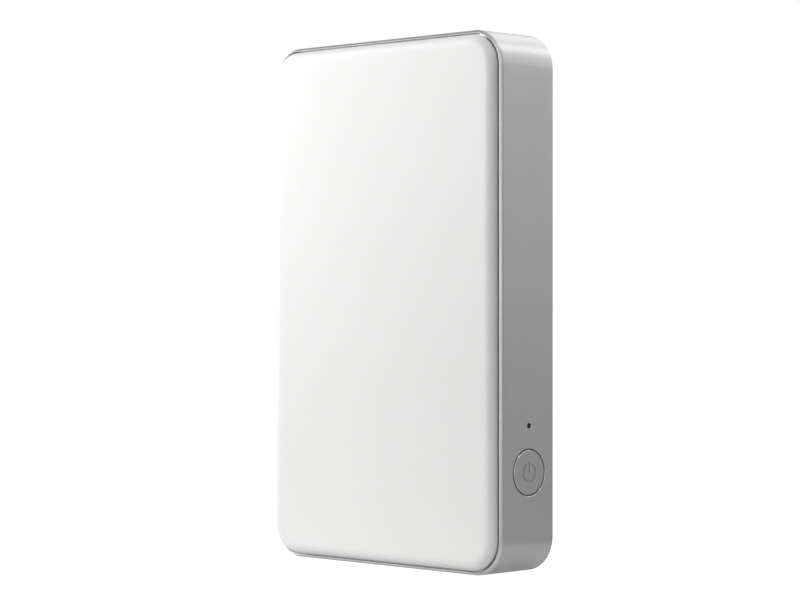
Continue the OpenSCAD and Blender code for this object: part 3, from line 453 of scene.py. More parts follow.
class Strokes(Effect):
    """Fine lines along one direction, as brushing, drawing or turning leaves them."""

    title = "Strokes"
    takes = (("Scale X", 200.0), ("Scale Y", 200.0), ("Scale Z", 200.0))
    gives = "Height"

    @classmethod
    def draw(cls, wiring: Wiring, source: bpy.types.NodeOutputs) -> Socket:
        """Stretches a noise by its own scale along each axis.

        Args:
            wiring: The group's wiring.
            source: The group's inputs.

        Returns:
            The height's socket.
        """
        scales = {place: source[f"Scale {axis}"] for place, axis in enumerate("XYZ")}
        scale = wiring.node("CombineXYZ", scales).outputs[0]
        stretched = wiring.vector("MULTIPLY", source["Vector"], scale)
        return wiring.noise(stretched, 1.0, detail=3.0, rough=0.6)


class Scratches(Effect):
    """A few hairline scratches with random directions.

    Attributes:
        stretch: How the cells of each direction are stretched.
        width: The distance from a cell's border at which a hairline ends.
        broken: The noise where a hairline is broken and where it is whole.
    """

    title = "Scratches"
    takes = (("Scale", 120.0), ("Amount", 0.3))
    stretch: ClassVar[tuple[Point, ...]] = ((1.0, 0.09, 0.14), (0.12, 1.0, 0.5), (0.5, 0.1, 1.0))
    width: ClassVar[float] = 0.006
    broken: ClassVar[Pair] = (0.52, 0.6)

    @classmethod
    def draw(cls, wiring: Wiring, source: bpy.types.NodeOutputs) -> Socket:
        """Thins the borders of long cells in three directions.

        Args:
            wiring: The group's wiring.
            source: The group's inputs.

        Returns:
            The mask's socket.
        """
        total: object = 0.0
        for stretch in cls.stretch:
            vector = wiring.vector("MULTIPLY", source["Vector"], stretch)
            inputs = {"Vector": vector, "Scale": source["Scale"]}
            cells = wiring.node("TexVoronoi", inputs, feature="DISTANCE_TO_EDGE")
            line = wiring.span(cells.outputs[0], (cls.width, 0.0))
            total = wiring.math("MAXIMUM", total, line)
        broken = wiring.span(wiring.noise(source["Vector"], source["Scale"]), cls.broken)
        return wiring.math("MULTIPLY", wiring.math("MULTIPLY", total, broken), source["Amount"])


class Traces(Effect):
    """Copper lines under a board's lacquer, running up in some fields and across in others.

    Attributes:
        upright: The share of the fields whose lines run up.
        line: Where across its band a line starts and where it is full.
        filled: The share of the fields that have lines.
    """

    title = "Traces"
    takes = (("Pitch", 1300.0), ("Field Scale", 130.0))
    upright: ClassVar[float] = 0.5
    line: ClassVar[Pair] = (0.56, 0.66)
    filled: ClassVar[float] = 0.82

    @classmethod
    def draw(cls, wiring: Wiring, source: bpy.types.NodeOutputs) -> Socket:
        """Picks a direction for each field and draws bands in it.

        Args:
            wiring: The group's wiring.
            source: The group's inputs.

        Returns:
            The mask's socket.
        """
        inputs = {"Vector": source["Vector"], "Scale": source["Field Scale"]}
        cells = wiring.node("TexVoronoi", inputs, distance="MANHATTAN")
        pick = wiring.node("SeparateXYZ", {0: cells.outputs["Color"]}).outputs[0]
        part = wiring.node("SeparateXYZ", {0: source["Vector"]})
        turned = wiring.math("GREATER_THAN", pick, cls.upright)
        along = wiring.blend(turned, part.outputs["X"], part.outputs["Z"])
        bands = wiring.math("PINGPONG", wiring.math("MULTIPLY", along, source["Pitch"]), 1.0)
        lines = wiring.span(bands, cls.line)
        filled = wiring.math("LESS_THAN", pick, cls.filled)
        return wiring.math("MULTIPLY", lines, filled)


# ---------- Finishes ----------


@dataclass(frozen=True)
class Texture:
    """A surface's fine relief.

    Attributes:
        scale: Grains per metre.
        depth: The relief's height in metres.
        coarse: The share of the broader grain.
    """

    scale: float = 5000.0
    depth: float = 4e-6
    coarse: float = 0.3


@dataclass(frozen=True)
class Wear:
    """What handling has done to a surface.

    Attributes:
        colour: The colour where an edge is rubbed.
        edge: How much of the edges is rubbed.
        radius: How far the wear reaches from an edge, in metres.
        scratches: How strongly hairlines show.
        dust: How much dust lies on what faces up.
    """

    colour: Colour = (0.5, 0.5, 0.5)
    edge: float = 0.3
    radius: float = 0.00025
    scratches: float = 0.2
    dust: float = 0.06


DUST_COLOUR: Colour = (0.46, 0.44, 0.41)


@dataclass(frozen=True)
class Finish:
    """A finish with grain, slow colour change, worn edges, hairlines and dust.

    Attributes:
        name: The material's name.
        colour: The main colour.
        shade: The colour that slow patches lean to.
        roughness: The lowest and highest roughness.
        texture: The fine relief.
        wear: What handling has done.
        metallic: 1 for a metal.
        brushed: The direction of brushing, or None.
        brush_depth: The height of the brushed lines in metres.
        coat: The weight of a clear top layer.
        coat_roughness: The clear layer's roughness.
        specular: The level of the plain reflection.
        cloud_scale: Slow patches per metre.
        brush_scales: The brushed lines' patterns per metre along and across them.
        hand_scale: The scale of the marks of hands, as a share of the slow patches'.
        hair_rough: How much rougher a hairline is.
        hair_deep: How deep a hairline is, as a share of the relief.
        dust_rough: How much rougher dust is.
    """

    name: str
    colour: Colour
    shade: Colour
    roughness: Pair
    texture: Texture = Texture()
    wear: Wear = Wear()
    metallic: float = 0.0
    brushed: Axis | None = None
    brush_depth: float = 2e-6
    coat: float = 0.0
    coat_roughness: float = 0.2
    specular: float = 0.5
    cloud_scale: float = 45.0
    brush_scales: ClassVar[Pair] = (60.0, 9000.0)
    hand_scale: ClassVar[float] = 2.1
    hair_rough: ClassVar[float] = 0.25
    hair_deep: ClassVar[float] = 0.6
    dust_rough: ClassVar[float] = 0.5

    def pattern(self, wiring: Wiring, vector: Socket) -> Socket:
        """Draws the colour before wear.

        Args:
            wiring: The material's wiring.
            vector: The coordinates.

        Returns:
            The colour's socket.
        """
        clouds = Clouds.place(wiring, vector, Scale=self.cloud_scale, Contrast=0.8)
        return wiring.tint(clouds, self.colour, self.shade)

    def relief(self, wiring: Wiring, vector: Socket) -> tuple[Socket, float]:
        """Draws the height of the surface.

        Args:
            wiring: The material's wiring.
            vector: The coordinates.

        Returns:
            The height's socket, and the height in metres that 1 stands for.
        """
        grain = Grain.place(wiring, vector, Scale=self.texture.scale, Coarse=self.texture.coarse)
        if self.brushed is None:
            return grain, self.texture.depth
        along, across = self.brush_scales
        scales = {f"Scale_{axis}": along if part else across for axis, part in zip("XYZ", self.brushed.value)}
        lines = Strokes.place(wiring, vector, **scales)
        deepest = max(self.brush_depth, self.texture.depth)
        both = wiring.math("ADD", wiring.math("MULTIPLY", lines, self.brush_depth / deepest),
                           wiring.math("MULTIPLY", grain, self.texture.depth / deepest))
        return both, deepest

    def build(self) -> bpy.types.Material:
        """Makes the material once.

        Returns:
            The material.
        """
        label = f"finish_{self.name}"
        found = bpy.data.materials.get(label)
        if found:
            return found
        made = bpy.data.materials.new(label)
        made.use_nodes = True
        made.diffuse_color = (*self.colour, 1.0)
        made.node_tree.nodes.clear()
        wiring = Wiring(made.node_tree)
        vector = wiring.node("TexCoord").outputs["Object"]
        edges = EdgeWear.place(wiring, vector, Radius=self.wear.radius, Amount=self.wear.edge)
        hairs = Scratches.place(wiring, vector, Amount=self.wear.scratches)
        dust = Dust.place(wiring, vector, Amount=self.wear.dust)
        colour = wiring.tint(edges, self.pattern(wiring, vector), self.wear.colour)
        colour = wiring.tint(dust, colour, DUST_COLOUR)
        height, unit = self.relief(wiring, vector)
        hands = Clouds.place(wiring, vector, Scale=self.cloud_scale * self.hand_scale, Contrast=1.0)
        rough = wiring.blend(hands, *self.roughness)
        rough = wiring.math("ADD", rough, wiring.math("MULTIPLY", hairs, self.hair_rough))
        rough = wiring.math("ADD", rough, wiring.math("MULTIPLY", dust, self.dust_rough))
        height = wiring.math("SUBTRACT", height, wiring.math("MULTIPLY", hairs, self.hair_deep))
        bump = wiring.node("Bump", {"Height": height, "Distance": unit, "Strength": 1.0})
        shader = wiring.node("BsdfPrincipled", {
            "Base Color": colour,
            "Roughness": rough,
            "Metallic": self.metallic,
            "Normal": bump.outputs[0],
            "Coat Weight": self.coat,
            "Coat Roughness": self.coat_roughness,
            "Specular IOR Level": self.specular,
        })
        self.refine(wiring, vector, shader)
        wiring.node("OutputMaterial", {"Surface": shader.outputs[0]})
        return made

    def refine(self, wiring: Wiring, vector: Socket, shader: bpy.types.Node) -> None:
        """Sets what one kind of finish adds.

        Args:
            wiring: The material's wiring.
            vector: The coordinates.
            shader: The Principled node.
        """


@dataclass(frozen=True)
class BoardFinish(Finish):
    """Lacquered circuit board with copper lines that show through.

    Attributes:
        copper: The colour of the lines under the lacquer.
    """

    copper: Colour = (0.05, 0.2, 0.06)

    def pattern(self, wiring: Wiring, vector: Socket) -> Socket:
        """Draws the copper lines under the lacquer.

        Args:
            wiring: The material's wiring.
            vector: The coordinates.

        Returns:
            The colour's socket.
        """
        return wiring.tint(Traces.place(wiring, vector), super().pattern(wiring, vector), self.copper)


@dataclass(frozen=True)
class CorkFinish(Finish):
    """Pressed cork with dark crumbs.

    Attributes:
        crumb: The colour of the dark crumbs.
        crumb_scale: Crumbs per metre.
        dark: Which of the crumbs start to be dark and which are darkest, from 0 to 1.
    """

    crumb: Colour = (0.12, 0.06, 0.03)
    crumb_scale: float = 900.0
    dark: Pair = (0.3, 1.0)

    def pattern(self, wiring: Wiring, vector: Socket) -> Socket:
        """Draws crumbs of several browns.

        Args:
            wiring: The material's wiring.
            vector: The coordinates.

        Returns:
            The colour's socket.
        """
        cells = wiring.node("TexVoronoi", {"Vector": vector, "Scale": self.crumb_scale})
        share = wiring.span(wiring.node("SeparateXYZ", {0: cells.outputs["Color"]}).outputs[0], self.dark)
        return wiring.tint(share, super().pattern(wiring, vector), self.crumb)


@dataclass(frozen=True)
class CableFinish(Finish):
    """Amber film over flat copper conductors.

    Attributes:
        conductor: The colour of a conductor under the film.
        pitch: Conductors per metre.
        turn_x: Where the cable turns from running up to running across, in metres.
        line: Where across its band a conductor starts and where it is full.
    """

    conductor: Colour = (0.5, 0.19, 0.05)
    pitch: float = 1600.0
    turn_x: float = -0.0305
    line: Pair = (0.4, 0.55)

    def pattern(self, wiring: Wiring, vector: Socket) -> Socket:
        """Draws the conductors along the cable, round its corner.

        Args:
            wiring: The material's wiring.
            vector: The coordinates.

        Returns:
            The colour's socket.
        """
        part = wiring.node("SeparateXYZ", {0: vector})
        across = wiring.math("GREATER_THAN", part.outputs["X"], self.turn_x)
        place = wiring.blend(across, part.outputs["Y"], part.outputs["Z"])
        bands = wiring.math("PINGPONG", wiring.math("MULTIPLY", place, self.pitch), 1.0)
        return wiring.tint(wiring.span(bands, self.line), super().pattern(wiring, vector), self.conductor)


@dataclass(frozen=True)
class LensFinish(Finish):
    """Clear or smoked plastic that guides a lamp's light.

    Attributes:
        through: How much light passes.
        index: The plastic's refractive index.
    """

    through: float = 0.8
    index: float = 1.49

    def refine(self, wiring: Wiring, vector: Socket, shader: bpy.types.Node) -> None:
        """Lets light through.

        Args:
            wiring: The material's wiring.
            vector: The coordinates.
            shader: The Principled node.
        """
        shader.inputs["Transmission Weight"].default_value = self.through
        shader.inputs["IOR"].default_value = self.index


BRIGHT: Colour = (0.86, 0.86, 0.87)
ALUMINIUM = Finish(
    "satin_aluminium", (0.72, 0.72, 0.725), (0.69, 0.69, 0.7), (0.36, 0.41), Texture(7000, 3e-6, 0.25),
    Wear(BRIGHT, 0.08, 0.0001, 0.06, 0.0), metallic=1.0)
BUTTON_METAL = Finish(
    "button_aluminium", (0.69, 0.69, 0.695), (0.66, 0.66, 0.67), (0.34, 0.4), Texture(7000, 3e-6, 0.25),
    Wear(BRIGHT, 0.5, 0.00012, 0.08, 0.0), metallic=1.0)
POLISHED_EDGE = Finish(
    "polished_edge", (0.84, 0.84, 0.845), (0.8, 0.8, 0.81), (0.285, 0.32), Texture(9000, 2.5e-7, 0.2),
    Wear(BRIGHT, 0.08, 0.0001, 0.04, 0.0), metallic=1.0)
SIGN_DARK = Finish(
    "sign_dark", (0.55, 0.55, 0.555), (0.51, 0.51, 0.52), (0.45, 0.55), Texture(7000, 3e-6, 0.3),
    Wear((0.4, 0.4, 0.4), 0.3, 0.0001, 0.1, 0.02), metallic=0.9)
COVER_WHITE = Finish(
    "cover_white", (0.83, 0.83, 0.822), (0.815, 0.815, 0.806), (0.36, 0.44), Texture(2300, 1.5e-5, 0.4),
    Wear((0.88, 0.88, 0.87), 0.3, 0.0003, 0.08, 0.0), coat=0.25, coat_roughness=0.32)
BACK_WHITE = Finish(
    "back_white", (0.8, 0.8, 0.792), (0.785, 0.785, 0.776), (0.42, 0.52), Texture(2600, 9e-6, 0.4),
    Wear((0.86, 0.86, 0.85), 0.3, 0.0003, 0.1, 0.0))
BLACK_PLASTIC = Finish(
    "black_plastic", (0.024, 0.024, 0.026), (0.034, 0.034, 0.036), (0.42, 0.58), Texture(2400, 1.1e-5, 0.5),
    Wear((0.14, 0.14, 0.145), 0.4, 0.0003, 0.25, 0.05))
TRAY_PLASTIC = Finish(
    "tray_plastic", (0.032, 0.032, 0.034), (0.045, 0.045, 0.046), (0.38, 0.55), Texture(1800, 1.4e-5, 0.5),
    Wear((0.16, 0.16, 0.165), 0.45, 0.0004, 0.3, 0.05))
LINER_PLASTIC = Finish(
    "liner_plastic", (0.05, 0.05, 0.052), (0.065, 0.065, 0.067), (0.45, 0.6), Texture(2000, 1.2e-5, 0.45),
    Wear((0.2, 0.2, 0.2), 0.4, 0.0004, 0.25, 0.04))
GUIDE_PLASTIC = Finish(
    "guide_plastic", (0.07, 0.07, 0.075), (0.09, 0.09, 0.094), (0.28, 0.42), Texture(2600, 6e-6, 0.4),
    Wear((0.24, 0.24, 0.25), 0.5, 0.0003, 0.4, 0.03))
FOOT_RUBBER = Finish(
    "foot_rubber", (0.16, 0.16, 0.163), (0.2, 0.2, 0.202), (0.72, 0.86), Texture(2100, 1.6e-5, 0.35),
    Wear((0.3, 0.3, 0.3), 0.4, 0.0004, 0.1, 0.08), specular=0.3)
ROLLER_RUBBER = Finish(
    "roller_rubber", (0.035, 0.035, 0.037), (0.055, 0.055, 0.056), (0.6, 0.78), Texture(3200, 9e-6, 0.4),
    Wear((0.12, 0.12, 0.12), 0.35, 0.0003, 0.12, 0.08), brushed=Axis.X, brush_depth=7e-6, specular=0.35)
TYRE_RUBBER = Finish(
    "tyre_rubber", (0.12, 0.115, 0.11), (0.15, 0.145, 0.14), (0.65, 0.82), Texture(2600, 1.2e-5, 0.4),
    Wear((0.24, 0.23, 0.22), 0.35, 0.0003, 0.1, 0.08), brushed=Axis.X, brush_depth=1.1e-5, specular=0.35)
SCREW_STEEL = Finish(
    "screw_steel", (0.4, 0.4, 0.41), (0.33, 0.33, 0.345), (0.32, 0.44), Texture(6000, 4e-6, 0.3),
    Wear(BRIGHT, 0.6, 0.0002, 0.4, 0.02), metallic=1.0)
SHAFT_STEEL = Finish(
    "shaft_steel", (0.44, 0.44, 0.45), (0.37, 0.37, 0.385), (0.32, 0.42), Texture(8000, 1.5e-6, 0.3),
    Wear(BRIGHT, 0.4, 0.0002, 0.4, 0.02), metallic=1.0, brushed=Axis.Y, brush_depth=2.5e-6)
SPRING_STEEL = Finish(
    "spring_steel", (0.5, 0.5, 0.51), (0.42, 0.42, 0.44), (0.22, 0.34), Texture(9000, 2e-6, 0.3),
    Wear(BRIGHT, 0.2, 0.0001, 0.2, 0.02), metallic=1.0)
SHEET_STEEL = Finish(
    "sheet_steel", (0.44, 0.44, 0.445), (0.36, 0.365, 0.38), (0.42, 0.54), Texture(5200, 3e-6, 0.4),
    Wear(BRIGHT, 0.55, 0.0003, 0.5, 0.03), metallic=1.0, brushed=Axis.Z, brush_depth=3e-6)
MAGNET_NICKEL = Finish(
    "magnet_nickel", (0.52, 0.51, 0.49), (0.45, 0.44, 0.425), (0.3, 0.4), Texture(6000, 1.5e-6, 0.4),
    Wear(BRIGHT, 0.5, 0.0002, 0.5, 0.02), metallic=1.0)
BRONZE = Finish(
    "bush_bronze", (0.55, 0.36, 0.17), (0.42, 0.27, 0.13), (0.32, 0.46), Texture(7000, 5e-6, 0.4),
    Wear((0.78, 0.56, 0.3), 0.5, 0.0002, 0.3, 0.02), metallic=1.0)
PINION_BRASS = Finish(
    "pinion_brass", (0.68, 0.48, 0.2), (0.58, 0.39, 0.16), (0.2, 0.32), Texture(7000, 3e-6, 0.3),
    Wear((0.86, 0.68, 0.36), 0.5, 0.00012, 0.3, 0.02), metallic=1.0)
SINK_METAL = Finish(
    "heat_sink_metal", (0.26, 0.26, 0.27), (0.2, 0.2, 0.21), (0.5, 0.6), Texture(4200, 5e-6, 0.4),
    Wear(BRIGHT, 0.5, 0.0003, 0.3, 0.03), metallic=1.0, brushed=Axis.X, brush_depth=5e-6)
MOTOR_METAL = Finish(
    "motor_steel", (0.5, 0.5, 0.51), (0.4, 0.4, 0.42), (0.2, 0.34), Texture(5200, 2e-6, 0.4),
    Wear(BRIGHT, 0.5, 0.0003, 0.45, 0.03), metallic=1.0, brushed=Axis.X, brush_depth=2e-6)
TIN_PLATE = Finish(
    "tin_plate", (0.66, 0.66, 0.65), (0.56, 0.56, 0.56), (0.2, 0.36), Texture(3800, 3e-6, 0.5),
    Wear(BRIGHT, 0.45, 0.0002, 0.5, 0.02), metallic=1.0)
CERAMIC = Finish(
    "head_ceramic", (0.66, 0.6, 0.5), (0.6, 0.54, 0.44), (0.12, 0.2), Texture(5200, 1.5e-6, 0.4),
    Wear((0.8, 0.74, 0.64), 0.3, 0.0002, 0.25, 0.02), coat=0.6, coat_roughness=0.08)
GEAR_PLASTIC = Finish(
    "gear_plastic", (0.74, 0.73, 0.69), (0.68, 0.665, 0.62), (0.3, 0.46), Texture(4200, 4e-6, 0.4),
    Wear((0.5, 0.48, 0.42), 0.35, 0.00015, 0.15, 0.02))
CONNECTOR_PLASTIC = Finish(
    "connector_plastic", (0.76, 0.73, 0.64), (0.7, 0.67, 0.58), (0.36, 0.48), Texture(4200, 4e-6, 0.4),
    Wear((0.85, 0.82, 0.74), 0.3, 0.0002, 0.15, 0.03))
CHIP_RESIN = Finish(
    "chip_resin", (0.018, 0.018, 0.02), (0.028, 0.028, 0.03), (0.4, 0.54), Texture(5200, 7e-6, 0.35),
    Wear((0.12, 0.12, 0.125), 0.35, 0.0002, 0.2, 0.04))
BATTERY_WRAP = Finish(
    "battery_wrap", (0.3, 0.31, 0.33), (0.25, 0.26, 0.285), (0.24, 0.38), Texture(1500, 1.3e-5, 0.7),
    Wear((0.6, 0.6, 0.62), 0.5, 0.0004, 0.3, 0.03), metallic=0.85)
TAPE_AMBER = Finish(
    "tape_amber", (0.6, 0.31, 0.05), (0.5, 0.24, 0.04), (0.12, 0.24), Texture(1300, 7e-6, 0.7),
    Wear((0.7, 0.42, 0.12), 0.3, 0.0003, 0.2, 0.02), coat=0.6, coat_roughness=0.1)
RED_WIRE = Finish(
    "red_wire", (0.42, 0.02, 0.018), (0.34, 0.015, 0.015), (0.34, 0.46), Texture(4200, 4e-6, 0.4),
    Wear((0.55, 0.1, 0.09), 0.2, 0.0002, 0.1, 0.03))
GOLD_CONTACT = Finish(
    "gold_contact", (0.82, 0.6, 0.24), (0.74, 0.52, 0.2), (0.18, 0.28), Texture(6000, 2e-6, 0.3),
    Wear((0.9, 0.72, 0.38), 0.4, 0.0001, 0.3, 0.0), metallic=1.0)
BOARD_GREEN = BoardFinish(
    "board_lacquer", (0.012, 0.115, 0.04), (0.01, 0.095, 0.033), (0.24, 0.34), Texture(3200, 5e-6, 0.4),
    Wear((0.3, 0.3, 0.16), 0.4, 0.0003, 0.2, 0.03), coat=0.5, coat_roughness=0.15)
PAD_CORK = CorkFinish(
    "pad_cork", (0.4, 0.24, 0.12), (0.32, 0.18, 0.09), (0.78, 0.9), Texture(1300, 4e-5, 0.4),
    Wear((0.5, 0.34, 0.2), 0.2, 0.0004, 0.0, 0.04), specular=0.25)
FLAT_CABLE = CableFinish(
    "cable_film", (0.62, 0.3, 0.06), (0.55, 0.25, 0.05), (0.14, 0.22), Texture(2400, 3e-6, 0.5),
    Wear((0.7, 0.42, 0.14), 0.3, 0.0002, 0.15, 0.02), coat=0.7, coat_roughness=0.08)
LENS_CLEAR = LensFinish(
    "lens_clear", (0.9, 0.92, 0.92), (0.86, 0.88, 0.88), (0.1, 0.2), Texture(5000, 1.5e-6, 0.4),
    Wear((0.95, 0.95, 0.95), 0.2, 0.0001, 0.2, 0.0))
LENS_SMOKE = LensFinish(
    "lens_smoke", (0.012, 0.012, 0.013), (0.016, 0.016, 0.017), (0.22, 0.32), Texture(5000, 1.5e-6, 0.4),
    Wear((0.03, 0.03, 0.03), 0.2, 0.0001, 0.1, 0.0), through=0.15)


# ---------- Meshes ----------


def full_turn(count: int) -> list[float]:
    """Divides a full turn into equal steps.

    Args:
        count: How many steps there are.

    Returns:
        The angle at the start of each step, in radians.
    """
    return [2 * math.pi * step / count for step in range(count)]


def arc(middle: Pair, radius: float, angles: Iterable[float]) -> list[Pair]:
    """Finds points on a circle.

    Args:
        middle: The circle's middle.
        radius: Its radius.
        angles: The points' angles in radians.

    Returns:
        The points, across and up.
    """
    return [(middle[0] + radius * math.cos(a), middle[1] + radius * math.sin(a)) for a in angles]


class Shape:
    """Collects one piece's faces in millimetres and makes an object of them in metres."""

    def __init__(self) -> None:
        """Starts with no faces."""
        self.mesh = bmesh.new()

    def ring(self, points: Iterable[Point]) -> list[bmesh.types.BMVert]:
        """Adds a row of corners.

        Args:
            points: Their places.

        Returns:
            The corners.
        """
        return [self.mesh.verts.new([MM * part for part in point]) for point in points]

    def bridge(self, first: Sequence, second: Sequence, part: int = 0) -> None:
        """Joins two closed rows of the same length by four-sided faces.

        Args:
            first: The first row.
            second: The second row.
            part: The number of the finish that the faces take.
        """
        for i in range(len(first)):
            j = (i + 1) % len(first)
            face = self.mesh.faces.new((first[i], first[j], second[j], second[i]))
            face.material_index = part

    def cap(self, ring: Sequence, part: int = 0) -> None:
        """Closes a row with one face.

        Args:
            ring: The row.
            part: The number of the finish that the face takes.
        """
        self.mesh.faces.new(ring).material_index = part

    def loft(self, rings: Sequence[Iterable[Point]], part: int = 0) -> None:
        """Joins rows into a skin and closes its ends.

        Args:
            rings: The rows' places.
            part: The number of the finish that the faces take.
        """
        rows = [self.ring(points) for points in rings]
        for first, second in zip(rows, rows[1:]):
            self.bridge(first, second, part)
        self.cap(rows[0][::-1], part)
        self.cap(rows[-1], part)

    def block(self, low: Point, high: Point, part: int = 0) -> None:
        """Adds a block.

        Args:
            low: Its lowest corner.
            high: Its highest corner.
            part: The number of the finish that its faces take.
        """
        rings = [[(low[0], low[1], z), (high[0], low[1], z), (high[0], high[1], z), (low[0], high[1], z)]
                 for z in (low[2], high[2])]
        self.loft(rings, part)

    def tube(self, path: Sequence[Vector], radius: float, sides: int) -> None:
        """Sweeps a round section along a path.

        Args:
            path: The points that it follows.
            radius: Its radius.
            sides: How many sides its section has.
        """
        rings = []
        for i, place in enumerate(path):
            ahead = (path[min(i + 1, len(path) - 1)] - path[max(i - 1, 0)]).normalized()
            side = ahead.orthogonal() if not rings else (side - side.dot(ahead) * ahead)
            side = side.normalized()
            up = ahead.cross(side)
            rings.append([tuple(place + radius * (math.cos(turn) * side + math.sin(turn) * up))
                          for turn in full_turn(sides)])
        self.loft(rings)

    def turned(self, centre: Point, profile: Sequence[Pair], sides: int, axis: Axis = Axis.Y) -> None:
        """Turns a profile about an axis.

        Args:
            centre: A point on the axis.
            profile: Radius of each ring and its place along the axis from the centre.
            sides: How many sides each ring has.
            axis: The axis's direction.
        """
        turns = full_turn(sides)
        self.loft([[axis.point(centre, radius, turn, along) for turn in turns] for radius, along in profile])

    def object(self, name: str, finishes: Sequence[Finish]) -> bpy.types.Object:
        """Makes a plain object of the faces.

        Args:
            name: The object's name.
            finishes: The finishes that the faces' numbers stand for.

        Returns:
            The object.
        """
        bmesh.ops.recalc_face_normals(self.mesh, faces=self.mesh.faces)
        data = bpy.data.meshes.new(name)
        self.mesh.to_mesh(data)
        for finish in finishes:
            data.materials.append(finish.build())
        made = bpy.data.objects.new(name, data)
        bpy.context.scene.collection.objects.link(made)
        return made

    def carve(self, cutter: "Shape", finishes: Sequence[Finish]) -> None:
        """Cuts another shape out of this one. The cut's walls keep the cutter's finish numbers.

        Args:
            cutter: The shape to cut out.
            finishes: The finishes that the faces' numbers stand for.
        """
        blank, tool = self.object("blank", finishes), cutter.object("tool", finishes)
        cut = blank.modifiers.new("cut", "BOOLEAN")
        cut.operation = "DIFFERENCE"
        cut.solver = "EXACT"
        cut.object = tool
        ready = blank.evaluated_get(bpy.context.evaluated_depsgraph_get())
        data = bpy.data.meshes.new_from_object(ready)
        self.mesh.clear()
        self.mesh.from_mesh(data)
        cutter.mesh.free()
        for item in (blank, tool):
            spare = item.data
            bpy.data.objects.remove(item)
            bpy.data.meshes.remove(spare)
        bpy.data.meshes.remove(data)

    def finish(self, name: str, finishes: Sequence[Finish], bevel: float = 0.0, smooth: float = 32.0,
               steps: int = 2) -> bpy.types.Object:
        """Makes the object with its materials and rounded edges.

        Args:
            name: The piece's name.
            finishes: The finishes that the faces' numbers stand for.
            bevel: The width of the rounded edges, or 0 for none.
            smooth: The largest angle in degrees across which the surface looks smooth.
            steps: How many faces a rounded edge has.

        Returns:
            The object, with its modifiers applied.
        """
        bmesh.ops.recalc_face_normals(self.mesh, faces=self.mesh.faces)
        if bevel:
            least = math.radians(smooth)
            sharp = [edge for edge in self.mesh.edges
                     if edge.is_manifold and edge.calc_face_angle(0.0) > least]
            bmesh.ops.bevel(self.mesh, geom=sharp, offset=bevel * MM, offset_type="OFFSET", segments=steps,
                            profile=0.5, affect="EDGES", clamp_overlap=True)
        made = self.object(name, finishes)
        self.mesh.free()
        for polygon in made.data.polygons:
            polygon.use_smooth = True
        made.data.set_sharp_from_angle(angle=math.radians(smooth))
        return made


def superellipse(share: float, power: float) -> Pair:
    """Finds a point on a quarter of a superellipse that reaches 1 along both axes.

    Args:
        share: How far along the quarter the point is, from 0 to 1.
        power: 2 for a circle, and more for a fuller corner.

    Returns:
        The point, from (1, 0) to (0, 1).
    """
    angle = share * math.pi / 2
    return math.cos(angle) ** (2 / power), math.sin(angle) ** (2 / power)


